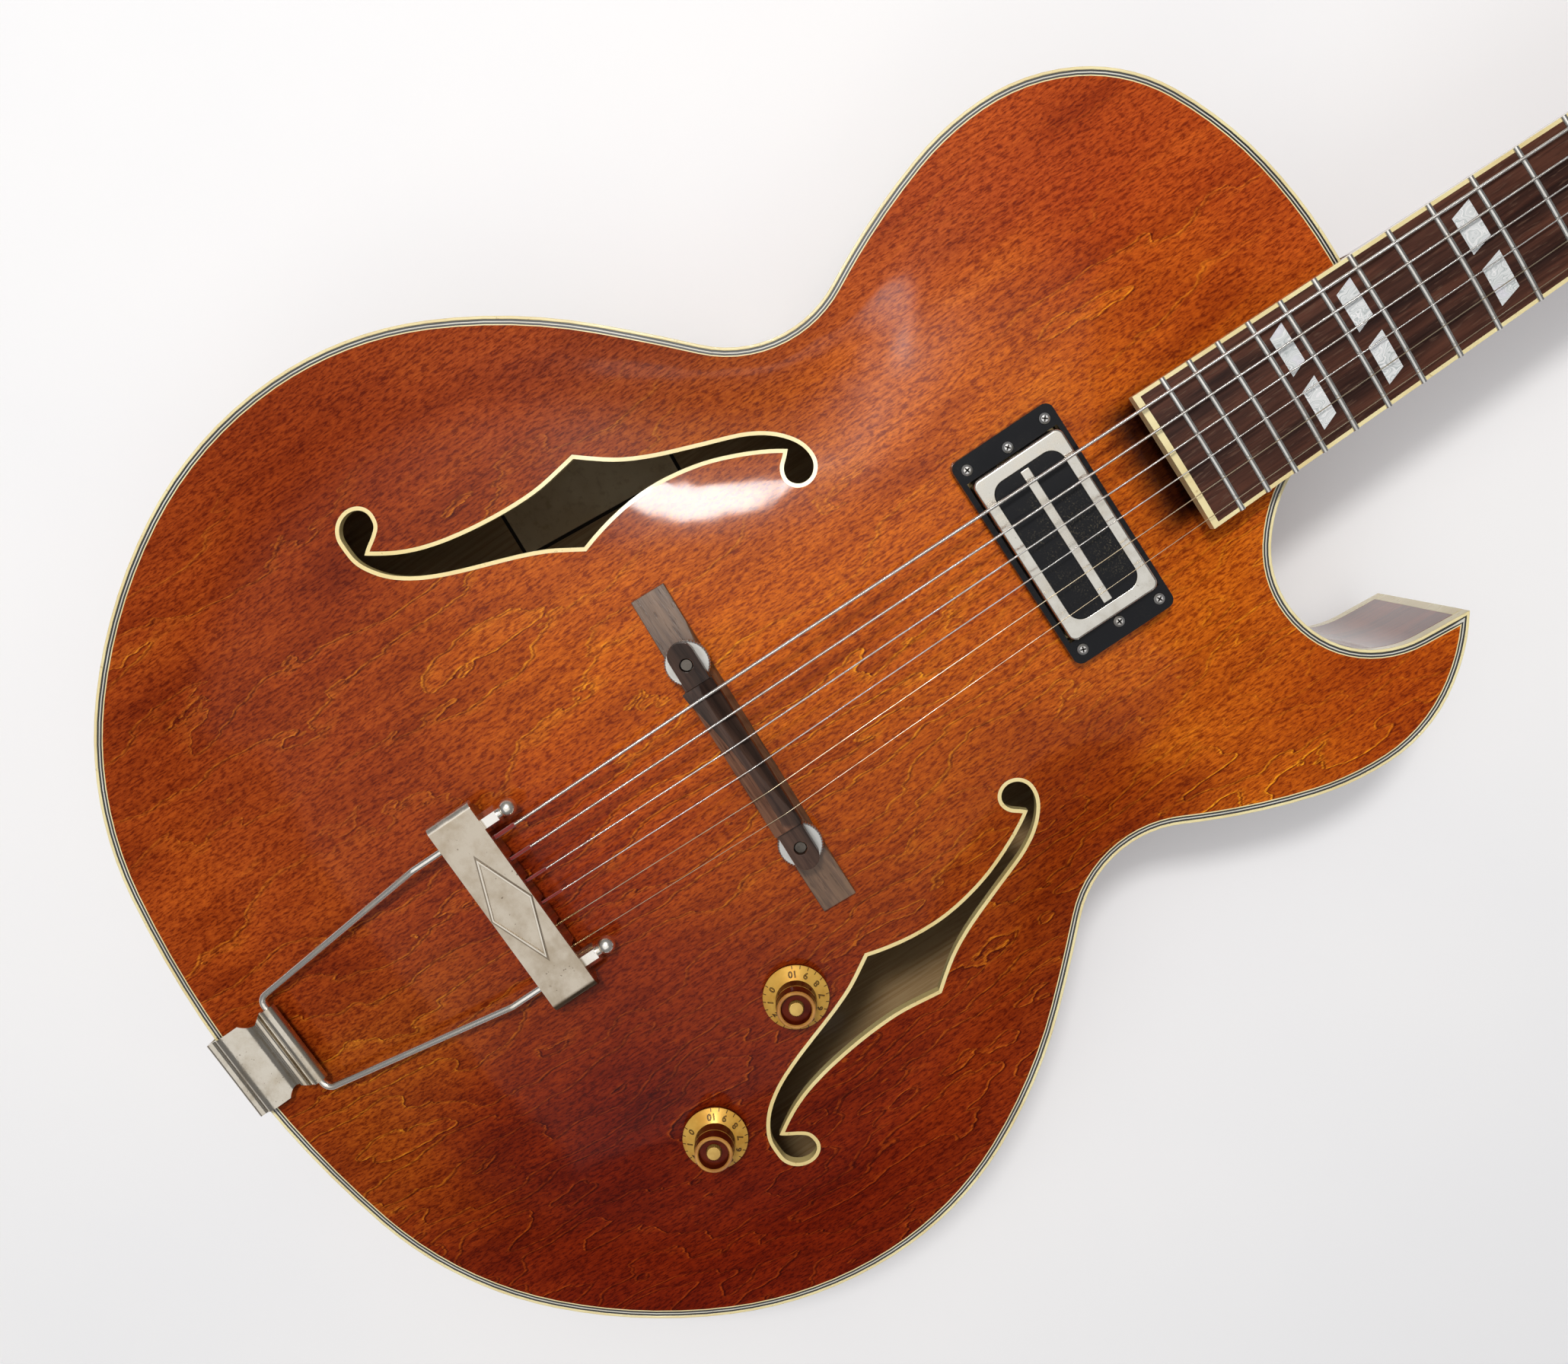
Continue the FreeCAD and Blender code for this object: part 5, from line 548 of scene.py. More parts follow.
def bar_metal():
    """Nickel sheet with a painted highlight and a painted shade line along the pressed diamond, painted
    shade on the treble end and a painted highlight on the bass end.
    """
    finish, tree, shader, place = new_finish("bar_nickel", metallic=1.0)
    made = add(tree, "Group", {"Vector": place}, node_tree=flaws).outputs
    across, along, _ = add(tree, "SeparateXYZ", {0: place}).outputs
    low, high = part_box("tailpiece_crossbar")
    out = maths(tree, "DIVIDE", maths(tree, "ABSOLUTE", across), DIAMOND_WIDE)
    off = maths(tree, "ABSOLUTE", maths(tree, "SUBTRACT", along, (low.y + high.y) / 2))
    edge = maths(tree, "MULTIPLY_ADD", off, 1.0 / DIAMOND_HIGH, out)
    tarnish = step(tree, made["Tarnish"], 0.36, 0.68)
    colour = mix(tree, tarnish, (0.64, 0.56, 0.45), (0.47, 0.39, 0.29))
    # Painted highlight: a bright line just inside the edge of the pressed diamond.
    diamond_highlight = step(tree, maths(tree, "ABSOLUTE", maths(tree, "SUBTRACT", edge, 0.93)), 0.030, 0.015)
    colour = mix(tree, maths(tree, "MULTIPLY", diamond_highlight, 0.7), colour, (0.92, 0.86, 0.76))
    # Painted shade: a dark line on the edge of the pressed diamond.
    diamond_shade = step(tree, maths(tree, "ABSOLUTE", maths(tree, "SUBTRACT", edge, 1.0)), 0.045, 0.025)
    colour = mix(tree, maths(tree, "MULTIPLY", diamond_shade, 0.75), colour, (0.17, 0.13, 0.09))
    # Painted shade darkens the treble end of the bar.
    colour = mix(tree, step(tree, across, 0.0385, 0.0400), colour, (0.16, 0.11, 0.07))
    # A painted highlight brightens the bass end of the bar.
    colour = mix(tree, step(tree, across, -0.0392, -0.0398, 0.0, 0.7), colour, (0.90, 0.84, 0.74))
    colour = mix(tree, maths(tree, "MULTIPLY", made["Pits"], 0.9), colour, (0.13, 0.09, 0.06))
    feed(tree, shader, base_color=colour, roughness=maths(tree, "MULTIPLY_ADD", tarnish, 0.2, 0.2))
    relief = maths(tree, "MULTIPLY_ADD", made["Pits"], -2.0, made["Scratches"])
    bump(tree, shader, relief, 0.06, 0.0002)
    return finish


# Painted reflection: the string plate's nickel is brown and dark, as if the wood around it were mirrored
# in it.
plate_nickel_reflection = metal("plate_nickel_reflection", (0.46, 0.34, 0.22), (0.27, 0.17, 0.09), 0.16, 0.16, 0.5)
dress(wire_nickel, "tailpiece_trapeze", "tailpiece_nuts")
dress(bracket_nickel, "tailpiece_bracket")
dress(dark_steel, "bridge_posts")
dress(nickel, "tuner_housings", "tuner_bushings", "output_jack", "end_pin",
      *("tuner_%s_%d" % (kind, n) for kind in ("post", "key") for n in range(1, 7)))
dress(steel, "ring_screws", "height_screw_bass", "height_screw_treble", "truss_rod", "potentiometers")
dress(brass, "pickup_base_plate")
dress(fret_metal, "frets")
eased_piece("crossbar", "tailpiece_crossbar", 0.3, bar_metal(), "guitar")
eased_piece("string_plate", "tailpiece_string_block", 0.25, plate_nickel_reflection, "guitar")
eased_piece("blade", "pickup_blade", 0.35, cover_nickel, "pickup")
eased_piece("cover", "pickup_cover", 0.7, cover_nickel, "pickup", 30.0, 4)

# %% [markdown]
# Two springs hold the pickup away from its ring. When the pickup is screwed up or down, they get
# shorter or longer: the upper end stays with the ring and the lower end goes with the pickup. The
# copy of the springs here rides on the guitar.

# %% Piece: pickup springs
low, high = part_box("pickup_springs")
finish_piece("springs", worked_copy("pickup_springs"), [steel], "guitar", ["pickup_springs"],
             stretch=("pickup", (0.0, 0.0, high.z), (0.0, 0.0, low.z)))

# %% [markdown]
# The screws of the pickup have cross slots. A slot is a recess that is hardly deeper than it is
# wide, and shade makes it dark, so two thin bars in a painted shade colour, sunk into the head,
# stand for it. Each screw has its own turn, because nobody lines them up.

# %% Pieces: cross slots of the screws
HEAD_TOP = 118.86
RING_SCREWS = ((-39.9, -151.6, 15.0), (-39.9, -117.6, 52.0), (39.9, -117.6, 28.0), (39.9, -151.6, 70.0))


def cross_slot(name, x, y, turn, body):
    shape = bmesh.new()
    size = Matrix.Diagonal((2.3 * MM, 0.55 * MM, 0.16 * MM, 1.0))
    lie = Matrix.Translation((x * MM, y * MM, HEAD_TOP * MM))
    for angle in (turn, turn + 90.0):
        bar = bmesh.ops.create_cube(shape, size=1.0)["verts"]
        spun = lie @ Matrix.Rotation(math.radians(angle), 4, "Z")
        bmesh.ops.transform(shape, matrix=spun @ size, verts=bar)
    finish_piece(name, shape, [slot_shade], body, ())


# Painted shade: the dark colour of these bars stands for the shade inside the slots.
slot_shade = metal("slot_shade", (0.030, 0.026, 0.022), (0.014, 0.012, 0.010), 0.4, 0.2, 0.2)
for index, (x, y, turn) in enumerate(RING_SCREWS):
    cross_slot("ring_slot_%d" % index, x, y, turn, "guitar")
cross_slot("slot_bass", -38.6, -134.6, 40.0, "height_screw_bass")
cross_slot("slot_treble", 38.6, -134.6, 8.0, "height_screw_treble")

# %% [markdown]
# These are the finishes that are left: the black plastic of the pickup ring and its dusty insert,
# mother of pearl, bone, the neck's wood and the black face of the headstock. Pearl is a stack of
# thin sheets cut at a slant, so one noise bends the place at which another is read.

# %% Finishes: plastic, pearl, bone and the neck
def black_plastic(name, dust, polish):
    finish, tree, shader, place = new_finish(
        name, roughness=polish, specular_ior_level=0.12,
        coat_weight=0.12, coat_roughness=0.08, coat_ior=1.45)
    cloud = noise(tree, place, (70.0, 70.0, 70.0), 3.0, 0.6)
    grit = step(tree, noise(tree, place, (1500.0, 1500.0, 1500.0), 3.0, 0.7), 0.52, 0.74)
    lint = maths(tree, "MULTIPLY", maths(tree, "MULTIPLY", grit, step(tree, cloud, 0.42, 0.66)), dust)
    feed(tree, shader, base_color=mix(tree, lint, (0.0065, 0.0068, 0.0085), (0.15, 0.125, 0.08)),
         roughness=step(tree, cloud, 0.3, 0.7, polish - 0.05, polish + 0.12))
    return finish


def pearl():
    finish, tree, shader, place = new_finish(
        "pearl", roughness=0.22, specular_ior_level=0.6,
        coat_weight=1.0, coat_roughness=0.05, coat_ior=1.45)
    folded = noise(tree, place, (150.0, 90.0, 150.0), 2.0, 0.5)
    shift = add(tree, "CombineXYZ", {0: folded, 1: folded}).outputs[0]
    warped = add(tree, "VectorMath", {0: place, 1: shift}, operation="ADD")
    sheets = noise(tree, warped.outputs[0], (46.0, 90.0, 46.0), 4.0, 0.55)
    colour = mix(tree, step(tree, sheets, 0.34, 0.50), (0.46, 0.50, 0.50), (0.74, 0.76, 0.76))
    colour = mix(tree, step(tree, sheets, 0.50, 0.64), colour, (0.93, 0.92, 0.92))
    colour = mix(tree, step(tree, folded, 0.56, 0.70, 0.0, 0.6), colour, (0.72, 0.70, 0.78))
    feed(tree, shader, base_color=colour)
    return finish


neck_maple = plain_wood(
    "neck_maple", (55.0, 5.0, 55.0), (900.0, 40.0, 900.0),
    ((0.27, 0.055, 0.012), (0.155, 0.024, 0.006)), (0.50, 0.7, (0.5, 0.4, 0.36)), 0.1,
    roughness=0.34, specular_ior_level=0.3, coat_weight=1.0, coat_roughness=0.06, coat_ior=1.42)
ring_plastic = black_plastic("ring_plastic", 0.12, 0.16)
insert_plastic = black_plastic("insert_plastic", 0.75, 0.42)
head_plastic = black_plastic("head_veneer", 0.05, 0.14)
bone = aged_plastic("nut_bone", (0.76, 0.70, 0.52), (0.62, 0.52, 0.34))
eased_piece("ring", "pickup_ring", 0.45, ring_plastic, "guitar")
eased_piece("rod_cover", "truss_rod_cover", 0.3, head_plastic, "guitar")
dress(insert_plastic, "pickup_insert")
dress(head_plastic, "headstock_veneer")
dress(pearl(), "position_inlays")
dress(bone, "nut")
dress(neck_maple, "neck")
dress(bare_finish, "neck_block", "tail_block", "linings", "tone_bars")

# %% [markdown]
# A thumbwheel is a disc with a knurled edge. One tooth is a small bump in the outline, so the
# disc starts as a circle of many points. Every third point stays, the others are pushed inwards,
# and the face is extruded and eased. The CAD wheel gives its place and its radius.

# %% Pieces: knurled thumbwheels
NOTCH = 0.955


def upper_corners(made):
    """The corners among what an extrusion made."""
    return [part for part in made["geom"] if isinstance(part, bmesh.types.BMVert)]


def thumbwheel(side):
    low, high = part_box("thumbwheel_" + side)
    middle, radius = (low + high) / 2, (high.x - low.x) / 2
    shape = bmesh.new()
    edge = bmesh.ops.create_circle(shape, segments=144, radius=radius, cap_ends=False)["verts"]
    for index, corner in enumerate(edge):
        corner.co *= 1.0 if index % 3 == 0 else NOTCH
    rim = list(shape.edges)
    hole = bmesh.ops.create_circle(shape, segments=24, radius=2.1 * MM, cap_ends=False)["verts"]
    bmesh.ops.bridge_loops(shape, edges=rim + list({e for v in hole for e in v.link_edges}))
    upper = upper_corners(bmesh.ops.extrude_face_region(shape, geom=list(shape.faces)))
    bmesh.ops.translate(shape, vec=(0, 0, high.z - low.z), verts=upper)
    bmesh.ops.recalc_face_normals(shape, faces=shape.faces)
    crisp = [e for e in shape.edges if e.is_manifold and abs(e.verts[0].co.z - e.verts[1].co.z) < 1e-6
             and e.calc_face_angle() > 1.0 and e.verts[0].co.length > radius / 2]
    bmesh.ops.bevel(shape, geom=crisp, offset=0.35 * MM, segments=1, profile=0.5, affect="EDGES",
                    material=-1)
    bmesh.ops.translate(shape, vec=(middle.x, middle.y, low.z), verts=shape.verts)
    finish_piece("knurled_wheel_" + side, shape, [pale_metal], "thumbwheel_" + side,
                 ["thumbwheel_" + side], 35.0)


for side in ("bass", "treble"):
    thumbwheel(side)

# %% [markdown]
# The knobs are moulded from clear amber plastic. Their skirt has gold paint underneath, so it
# looks gold, while the taller cap looks dark red because the light has a long way through it.
# One function mixes all these finishes from two colours and a cloudy noise.

# %% Finishes: knobs
def amber(name, colours, metallic, polish, gloss=0.5):
    finish, tree, shader, place = new_finish(
        name, metallic=metallic, specular_ior_level=gloss * 0.5,
        coat_weight=gloss, coat_roughness=0.05, coat_ior=1.5)
    cloud = noise(tree, place, (130.0, 130.0, 130.0), 3.0, 0.6)
    feed(tree, shader, base_color=mix(tree, step(tree, cloud, 0.32, 0.68), *colours),
         roughness=step(tree, cloud, 0.3, 0.7, polish - 0.06, polish + 0.1))
    return finish


gold_skirt = amber("gold_skirt", ((0.86, 0.50, 0.095), (0.70, 0.35, 0.050)), 0.35, 0.34)
amber_cap = amber("amber_cap", ((0.120, 0.014, 0.003), (0.065, 0.006, 0.0015)), 0.0, 0.16, 0.1)
amber_rim = amber("amber_rim", ((0.56, 0.27, 0.050), (0.38, 0.15, 0.024)), 0.0, 0.2)
dial_print = amber("dial_print", ((0.070, 0.028, 0.008), (0.040, 0.014, 0.004)), 0.0, 0.3)
shaft_gold = amber("shaft_gold", ((0.72, 0.47, 0.12), (0.54, 0.32, 0.07)), 0.5, 0.34)
print("knob finishes ready")

# %% [markdown]
# A knob is round, so its profile is drawn once as a line of points, each with its distance from
# the axis and its height in millimetres, and spun around the axis. The end of the splined shaft
# shows in the middle. The ticks and numbers of the dial are printed on the skirt: a tick is a
# thin bar and a number is a text outline, and both are laid on the cone of the skirt.

# %% Pieces: bell knobs with their dials
KNOB_TALL = 15.0
CONE = ((7.9, 4.6), (12.62, 1.75))
PROFILE = [(3.0, 12.0), (5.4, 12.0), (5.85, 14.6), (6.2, 15.0), (6.9, 15.0), (7.3, 14.6),
           (7.55, 10.6), (7.75, 10.2), (7.75, 9.7), (7.55, 9.4), (7.9, 5.2), *CONE, (12.8, 1.5),
           (12.8, 0.15), (12.6, 0.0), (11.8, 0.0), (8.4, 3.0), (6.4, 5.4), (3.0, 5.4)]
SPAN, FIRST = math.radians(30.0), math.radians(214.0)
TICK_PLACE, DIGIT_PLACE = 0.10, 0.56


def bell(tag, middle):
    shape = bmesh.new()
    points = [shape.verts.new((r * MM, 0.0, z * MM)) for r, z in PROFILE]
    for a, b in zip(points, points[1:] + points[:1]):
        shape.edges.new((a, b))
    bmesh.ops.spin(shape, geom=shape.verts[:] + shape.edges[:], cent=(0, 0, 0), axis=(0, 0, 1),
                   angle=math.tau, steps=96, use_merge=True)
    bmesh.ops.remove_doubles(shape, verts=shape.verts, dist=1e-6)
    bmesh.ops.recalc_face_normals(shape, faces=shape.faces)
    for face in shape.faces:
        spot = face.calc_center_median()
        out, up = math.hypot(spot.x, spot.y) / MM, spot.z / MM
        skirt = out > 7.95 and up > 1.0
        rim = out > 5.3 and up > 14.5 or out > 7.4 and 9.3 < up < 10.4
        face.material_index = 0 if skirt else 2 if rim else 1
    bmesh.ops.translate(shape, vec=middle, verts=shape.verts)
    finish_piece(tag + "_bell", shape, [gold_skirt, amber_cap, amber_rim], tag + "_knob",
                 [tag + "_knob"], 24.0)


def shaft(tag, middle):
    shape = bmesh.new()
    spline = bmesh.ops.create_circle(shape, segments=72, radius=2.9 * MM, cap_ends=True)["verts"]
    for index, corner in enumerate(spline):
        corner.co *= 1.0 if index % 3 == 0 else 0.9
    top = upper_corners(bmesh.ops.extrude_face_region(shape, geom=list(shape.faces)))
    bmesh.ops.translate(shape, vec=(0, 0, 21.0 * MM), verts=top)
    bmesh.ops.recalc_face_normals(shape, faces=shape.faces)
    crisp = [e for e in shape.edges if all(v in top for v in e.verts)]
    bmesh.ops.bevel(shape, geom=crisp, offset=0.3 * MM, segments=2, profile=0.5, affect="EDGES",
                    material=-1)
    bmesh.ops.translate(shape, vec=middle - Vector((0, 0, 7.0 * MM)), verts=shape.verts)
    finish_piece(tag + "_shaft", shape, [shaft_gold], tag + "_knob", (), 30.0)


def outline_of(name, curve):
    """The mesh of a text or a curve, which needs an object for a moment."""
    carrier = bpy.data.objects.new(name, curve)
    bpy.context.scene.collection.objects.link(carrier)
    shaped = carrier.evaluated_get(bpy.context.evaluated_depsgraph_get())
    mesh = bpy.data.meshes.new_from_object(shaped)
    bpy.data.objects.remove(carrier)
    return mesh


def dial(tag, middle):
    """Numbers from 0 to 10 and a tick at every half, laid on the cone of the skirt."""
    (r_in, z_in), (r_out, z_out) = CONE
    slope = Vector((r_in - r_out, 0, z_in - z_out)).normalized()
    sideways = Vector((0, 1, 0))

    def on_cone(angle, share):
        spot = Vector((r_out + (r_in - r_out) * share, 0, z_out + (z_in - z_out) * share)) * MM
        return Matrix.Translation(middle) @ Matrix.Rotation(angle, 4, "Z") @ Matrix.Translation(spot)

    shape = bmesh.new()
    flat = Matrix((slope, sideways, Vector((slope.z, 0, -slope.x)))).transposed().to_4x4()
    size = Matrix.Diagonal((1.35 * MM, 0.30 * MM, 0.12 * MM, 1))
    for half in range(21):
        tick = bmesh.ops.create_cube(shape, size=1.0)["verts"]
        place = on_cone(FIRST + half * SPAN / 2, TICK_PLACE)
        bmesh.ops.transform(shape, matrix=place @ flat @ size, verts=tick)
    upright = Matrix((sideways, slope, sideways.cross(slope))).transposed().to_4x4()
    for number in range(11):
        text = bpy.data.curves.new("digit", "FONT")
        text.body, text.size, text.align_x, text.align_y = str(number), 3.5 * MM, "CENTER", "CENTER"
        text.fill_mode, text.resolution_u = "NONE", 3
        text.bevel_depth, text.bevel_resolution = 0.13 * MM, 1
        digit = outline_of("digit", text)
        digit.transform(on_cone(FIRST + number * SPAN, DIGIT_PLACE) @ upright)
        shape.from_mesh(digit)
        bpy.data.meshes.remove(digit)
    finish_piece(tag + "_dial", shape, [dial_print], tag + "_knob", (), 40.0)


for tag in ("volume", "tone"):
    low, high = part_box(tag + "_knob")
    middle = Vector(((low.x + high.x) / 2, (low.y + high.y) / 2, high.z - KNOB_TALL * MM))
    bell(tag, middle)
    shaft(tag, middle)
    dial(tag, middle)

# %% [markdown]
# The four bass strings are wound with nickel wire, and near the tailpiece they are wrapped in red
# silk. The two thin ones are plain steel, held by a twist of bronze. A wave along the string
# raises the laps of a winding or a twist, and the plain wire has none.

# %% Finishes: strings
def string_metal(name, colour, dull, pitch):
    finish, tree, shader, place = new_finish(name, metallic=1.0)
    made = add(tree, "Group", {"Vector": place}, node_tree=flaws).outputs
    tone = mix(tree, step(tree, made["Tarnish"], 0.38, 0.68), colour, dull)
    feed(tree, shader, base_color=tone, roughness=step(tree, made["Tarnish"], 0.3, 0.7, 0.22, 0.36))
    if pitch:
        wave = {"Vector": place, "Scale": 0.314 / pitch}
        bump(tree, shader, add(tree, "TexWave", wave, bands_direction="Y").outputs[1], 0.5, 0.0001)
    return finish


def silk():
    finish, tree, shader, place = new_finish(
        "red_silk", roughness=0.75, specular_ior_level=0.3, sheen_weight=0.4)
    wave = {"Vector": place, "Scale": 900.0, "Distortion": 1.5}
    lap = add(tree, "TexWave", wave, bands_direction="Y").outputs[1]
    feed(tree, shader, base_color=mix(tree, lap, (0.16, 0.008, 0.006), (0.36, 0.024, 0.016)))
    bump(tree, shader, lap, 0.6, 0.0002)
    return finish


wound = string_metal("wound_nickel", (0.86, 0.84, 0.80), (0.66, 0.62, 0.56), 0.0004)
plain = string_metal("plain_steel", (0.80, 0.68, 0.48), (0.60, 0.46, 0.28), 0.0)
bronze_twist = string_metal("twisted_wire", (0.66, 0.46, 0.20), (0.48, 0.31, 0.12), 0.0005)
red_silk = silk()
print("string finishes ready")

# %% [markdown]
# Six strings run from the tailpiece over the saddle and the nut to their posts. `STRINGS` gives
# each string's number, its thickness, where its tail end sits across the body, and its places on
# the saddle, the nut and the post, in millimetres. A string is taut, so a tube with points only
# where it bends is exactly right. Each part rides on the guitar, and its point on the saddle
# follows the saddle's leaning ridge.

# %% Pieces: strings
TAIL = (-374.05, 127.2)
STRINGS = [
    (6, 1.300, -25.0, (-26.0, -276.41, 137.04), (-17.7, 355.36, 100.09), (-21.05, 400.91, 88.99)),
    (5, 0.970, -15.0, (-15.6, -276.89, 137.58), (-10.62, 355.38, 100.26), (-22.42, 443.91, 75.72)),
    (4, 0.723, -5.0, (-5.2, -277.36, 137.81), (-3.54, 355.39, 100.3), (-23.74, 486.91, 62.45)),
    (3, 0.539, 5.0, (5.2, -277.83, 137.72), (3.54, 355.39, 100.2), (23.83, 486.91, 62.45)),
    (2, 0.402, 15.0, (15.6, -278.3, 137.3), (10.62, 355.38, 99.97), (22.7, 443.91, 75.72)),
    (1, 0.300, 25.0, (26.0, -278.78, 136.54), (17.7, 355.36, 99.59), (21.55, 400.91, 88.99))]
SIDEWAYS, UPWARDS = Vector((1, 0, 0)), Vector((0, 0, 1))


def tube(points, radius):
    """A round tube through points given in millimetres, as a mesh."""
    curve = bpy.data.curves.new("wire", "CURVE")
    curve.dimensions, curve.use_fill_caps = "3D", True
    curve.bevel_depth, curve.bevel_resolution = radius * MM, 3
    line = curve.splines.new("POLY")
    line.points.add(len(points) - 1)
    for spot, co in zip(line.points, points):
        spot.co = (*(Vector(co) * MM), 1.0)
    return outline_of("wire", curve)


def wire_piece(name, points, radius, finish):
    mesh = tube(points, radius)
    mesh.name = name
    mesh.materials.clear()
    mesh.materials.append(finish)
    mesh.shade_smooth()
    piece = bpy.data.objects.new(name, mesh)
    bpy.context.scene.collection.objects.link(piece)
    print("piece:", name, len(mesh.polygons), "faces")
    return piece


for number, thick, tail, saddle, nut, post in STRINGS:
    tail = (tail, *TAIL)
    saddle = (saddle[0], saddle[1] + LEAN * (saddle[0] - BRIDGE_MIDDLE), saddle[2])
    finish = wound if number > 2 else plain
    length = wire_piece("string_%d" % number, [saddle, nut, post], thick / 2, finish)
    back = wire_piece("string_%d_tail" % number, [tail, saddle], thick / 2, finish)
    start, end = Vector(tail), Vector(saddle)
    run = (end - start).normalized()
    if number > 2:
        ends = [start + run * 2.6, start + run * 12]
        sleeve = wire_piece("silk_%d" % number, ends, thick / 2 + 0.22, red_silk)
    else:
        turns = [start + run * (3 + 0.11 * k)
                 + 0.28 * (SIDEWAYS * math.cos(k * 0.9) + UPWARDS * math.sin(k * 0.9))
                 for k in range(90)]
        sleeve = wire_piece("twist_%d" % number, turns, thick / 2, bronze_twist)
    for piece, far in ((length, nut), (back, tail), (sleeve, tail)):
        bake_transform(piece)
        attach(piece, "guitar")
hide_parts("strings")

# %% [markdown]
# At the headstock each string is wound three times around its post. The posts lean with the
# headstock, so the coil goes around the post's own axis. It rides on the post and turns with it.

# %% Pieces: string ends wound on the posts
POST_AXIS = Vector((0.0, 0.294874, 0.955536))
TURNS, STEPS = 3, 24
for number, thick, *_, post in STRINGS:
    side = -1 if number > 3 else 1
    outer = 3.0 + thick / 2
    centre = Vector(post) + Vector((side * (3.3 + thick / 2), 0, 0))
    lengthwise = POST_AXIS.cross(SIDEWAYS)
    turns = []
    for k in range(STEPS * TURNS + 1):
        angle = math.tau * k / STEPS
        arm = math.cos(angle) * SIDEWAYS + math.sin(angle) * lengthwise
        turns.append(centre - POST_AXIS * (thick * 1.05 * k / STEPS) + outer * arm)
    coil = wire_piece("winding_%d" % number, turns, thick / 2, wound if number > 2 else plain)
    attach(coil, "tuner_post_%d" % number)

# %% [markdown]
# Inside the body, below the bass f-hole, a paper label is glued to the back. Here it is left
# bare: an old sheet of paper with a plain ruled edge that follows the arch of the back. It is a
# grid whose points drop onto the back plate by a ray, a tenth of a millimetre above the wood.

# %% Piece: bare paper label
LABEL, LABEL_TURN = Vector((-133.5, -282.0, 50.0)) * MM, math.radians(-5.0)
LABEL_WIDE, LABEL_LONG = 56.0 * MM, 80.0 * MM


def paper():
    finish, tree, shader, place = new_finish("old_paper", roughness=0.85, specular_ior_level=0.2)
    fibre = noise(tree, place, (260.0, 260.0, 260.0), 4.0, 0.65)
    stain = noise(tree, place, (24.0, 24.0, 24.0), 3.0, 0.6)
    colour = mix(tree, step(tree, stain, 0.35, 0.68), (0.86, 0.70, 0.44), (0.70, 0.53, 0.30))
    colour = mix(tree, step(tree, fibre, 0.5, 0.7, 0.0, 0.4), colour, (0.6, 0.5, 0.36), "MULTIPLY")
    lie = {"Vector": place, "Location": LABEL, "Rotation": (0.0, 0.0, LABEL_TURN)}
    own = add(tree, "Mapping", lie, vector_type="TEXTURE").outputs[0]
    across, along, _ = add(tree, "SeparateXYZ", {0: own}).outputs
    rim = maths(tree, "MAXIMUM", maths(tree, "SUBTRACT", maths(tree, "ABSOLUTE", across), LABEL_WIDE / 2),
                maths(tree, "SUBTRACT", maths(tree, "ABSOLUTE", along), LABEL_LONG / 2))
    ruled = step(tree, rim, -0.0018, -0.0014)
    feed(tree, shader, base_color=mix(tree, ruled, colour, (0.03, 0.02, 0.012)))
    bump(tree, shader, fibre, 0.2, 0.0002)
    return finish


below = skin_of("back_plate")
shape = bmesh.new()
bmesh.ops.create_grid(shape, x_segments=16, y_segments=24, size=0.5)
lie = Matrix.Translation(LABEL) @ Matrix.Rotation(LABEL_TURN, 4, "Z")
size = Matrix.Diagonal((LABEL_WIDE, LABEL_LONG, 1.0, 1.0))
bmesh.ops.transform(shape, matrix=lie @ size, verts=shape.verts)
for corner in shape.verts:
    hit = below.ray_cast(corner.co, Vector((0, 0, -1)))[0]
    corner.co.z = hit.z + 0.1 * MM
finish_piece("label", shape, [paper()], "guitar", (), 60.0)

# %% [markdown]
# The camera stands where the photographer stood, above the strings and tilted a little. Its
# axes come from fitting the known sizes of the guitar to the photograph, so the render can be
# laid over it. The lens is shifted because the photograph is a crop of a wider picture.

# %% Camera
PIXELS = (2060.0, 1792.0)
FOCAL, CENTRE = 1821.934, (1087.966, 863.533)
eye = Vector((-0.07329, -0.20883, 0.63045))
forward = Vector((0.1208, -0.0456, -0.9916)).normalized()
right = Vector((0.5553, 0.8311, 0.0294))
right = (right - right.dot(forward) * forward).normalized()
up = right.cross(forward)
camera = bpy.data.objects.new("camera", bpy.data.cameras.new("camera"))
camera.matrix_world = Matrix.Translation(eye) @ Matrix((right, up, -forward)).transposed().to_4x4()
camera.data.sensor_width = 36.0
camera.data.lens = 36.0 * FOCAL / PIXELS[0]
camera.data.shift_x = (PIXELS[0] / 2 - CENTRE[0]) / PIXELS[0]
camera.data.shift_y = (CENTRE[1] - PIXELS[1] / 2) / PIXELS[0]
camera.data.clip_start = 0.01
bpy.context.scene.collection.objects.link(camera)
bpy.context.scene.camera = camera
print("lens:", round(camera.data.lens, 2))

# %% [markdown]
# The guitar lies on its back on a plain pale floor. The camera and the reflections see the floor
# a little brighter than the light that it gives back, so it is as white as in the photograph.
# Light comes from a small bright lamp above the bass side, whose reflection is the hot spot
# beside the bass f-hole. Wider and weaker halos around it soften its border. A large soft box
# overhead and a grey sky fill the shadows.

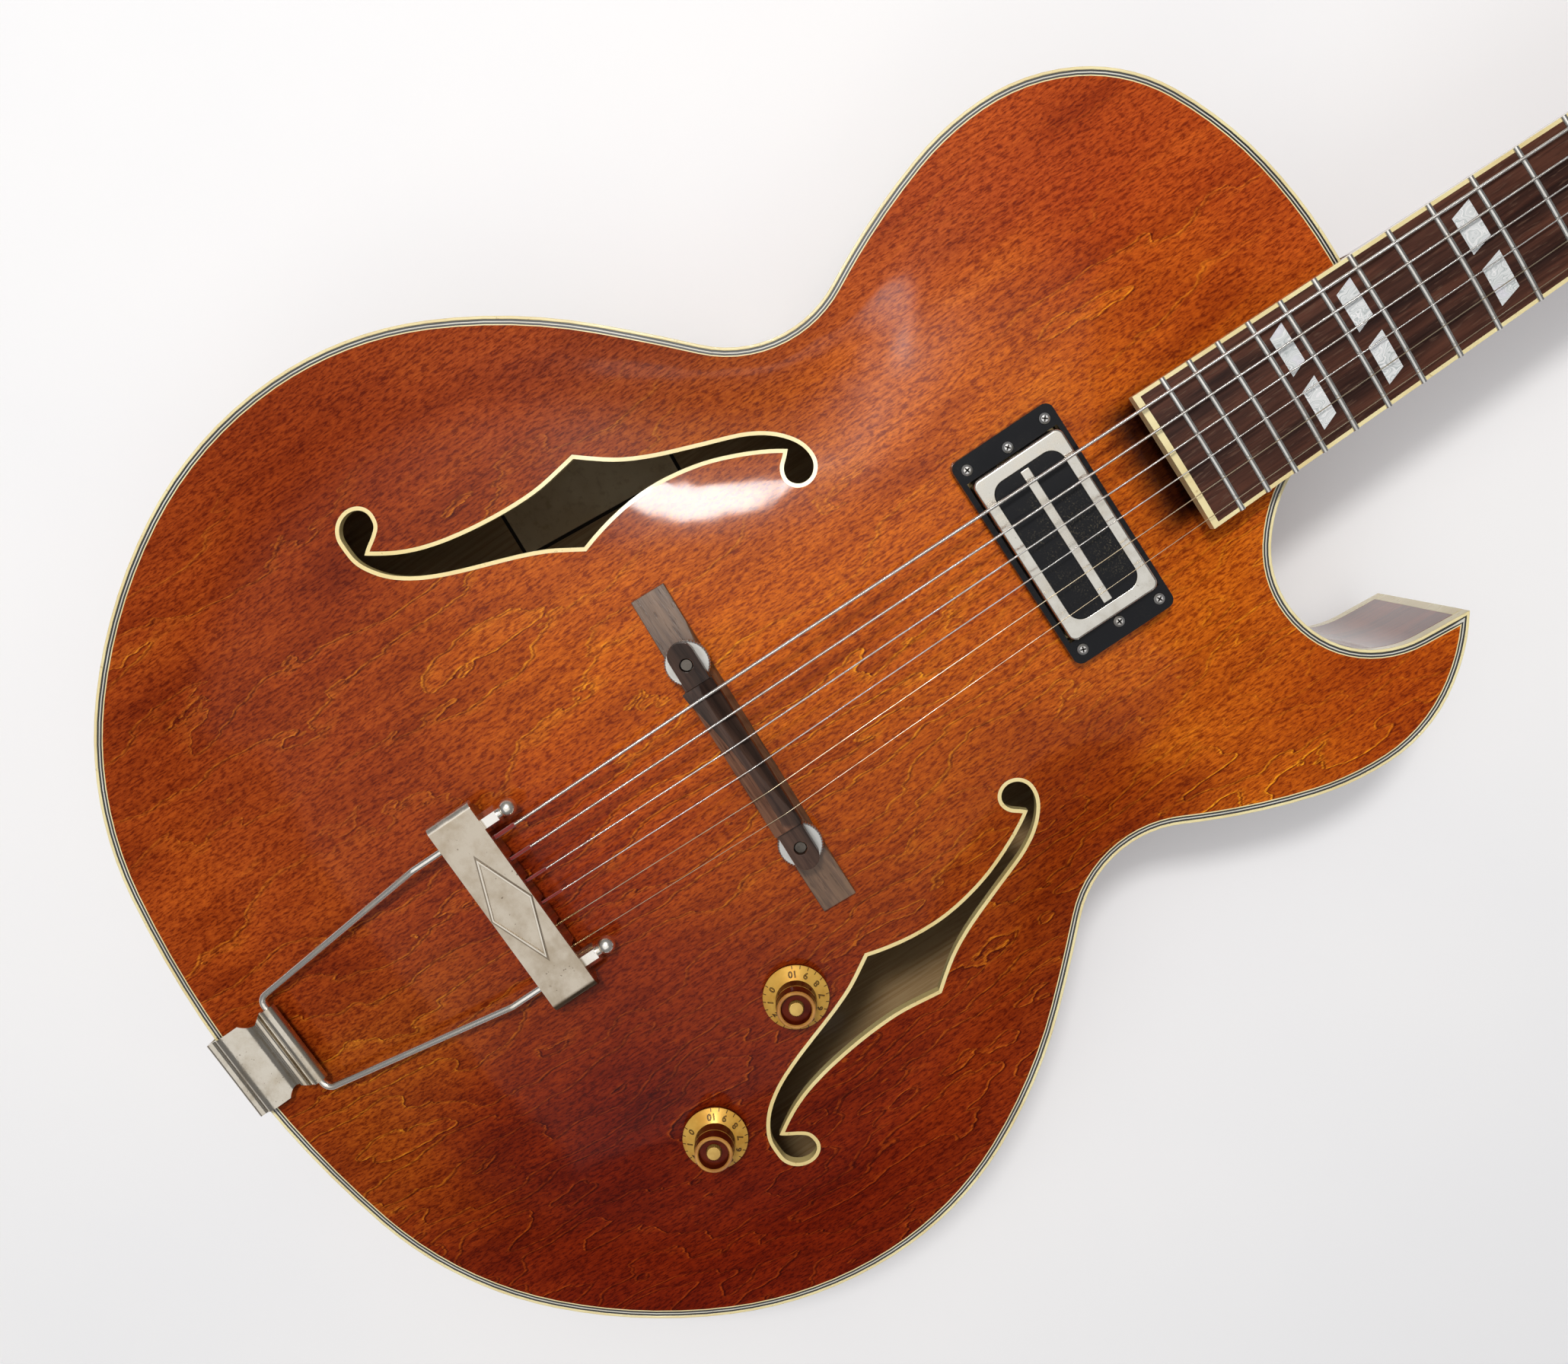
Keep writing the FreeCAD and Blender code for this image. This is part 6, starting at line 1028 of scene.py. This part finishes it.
# %% Floor, light and sky
def floor_finish():
    finish, tree, shader, place = new_finish("pale_floor", roughness=0.7, specular_ior_level=0.2)
    cloud = noise(tree, place, (3.0, 3.0, 3.0), 4.0, 0.5)
    ray = add(tree, "LightPath", {}).outputs
    seen = maths(tree, "MAXIMUM", ray["Is Camera Ray"], ray["Is Glossy Ray"])
    seen = maths(tree, "MAXIMUM", seen, ray["Is Transmission Ray"])
    colour = mix(tree, step(tree, cloud, 0.35, 0.65), (0.86, 0.855, 0.86), (0.83, 0.83, 0.845))
    shader.inputs["Emission Strength"].default_value = 1.0
    extra = mix(tree, seen, (0.0, 0.0, 0.0), (0.14, 0.14, 0.14))
    feed(tree, shader, base_color=colour, emission_color=extra)
    return finish


shape = bmesh.new()
bmesh.ops.create_grid(shape, x_segments=2, y_segments=2, size=12.0)
bmesh.ops.translate(shape, vec=(0, 0, -0.2 * MM), verts=shape.verts)
mesh = bpy.data.meshes.new("floor")
shape.to_mesh(mesh)
shape.free()
mesh.materials.append(floor_finish())
floor = bpy.data.objects.new("floor", mesh)
bpy.context.scene.collection.objects.link(floor)


def lamp(name, place, aim, wide, tall, power, colour=(1.0, 1.0, 1.0), outline="ELLIPSE"):
    light = bpy.data.lights.new(name, "AREA")
    light.shape, light.size, light.size_y, light.energy, light.color = outline, wide, tall, power, colour
    holder = bpy.data.objects.new(name, light)
    holder.location = place
    holder.rotation_euler = (Vector(aim) - Vector(place)).to_track_quat("-Z", "Y").to_euler()
    bpy.context.scene.collection.objects.link(holder)


spot = Vector((-0.086, -0.2365, 0.112))
towards = Vector((-0.335, 0.115, 0.935)).normalized()
lamp("hot_lamp", spot + towards * 1.5, spot, 0.19, 0.17, 9.0, (1.0, 0.98, 0.95))
FLATTER = 0.85
for wide, level in ((0.32, 5.0), (0.45, 4.0), (0.60, 2.0), (0.85, 0.8), (1.2, 0.5), (1.6, 0.35)):
    power = level * math.pi * math.pi / 4 * wide * wide * FLATTER
    lamp("halo_%d" % round(wide * 100), spot + towards * 1.6, spot, wide, wide * FLATTER, power,
         (1.0, 0.985, 0.96))
lamp("ceiling", (0.15, -0.8, 2.6), (0.15, -0.8, 0.0), 3.4, 3.4, 25.0, outline="RECTANGLE")
world = bpy.data.worlds.new("sky")
world.use_nodes = True
world.node_tree.nodes["Background"].inputs[0].default_value = (0.20, 0.20, 0.205, 1.0)
bpy.context.scene.world = world
bpy.context.scene.view_settings.view_transform = "Standard"
print("lamps:", len(bpy.data.lights))

# %% [markdown]
# The last step brings the scene up to date.

# %% Update the scene
bpy.context.view_layer.update()
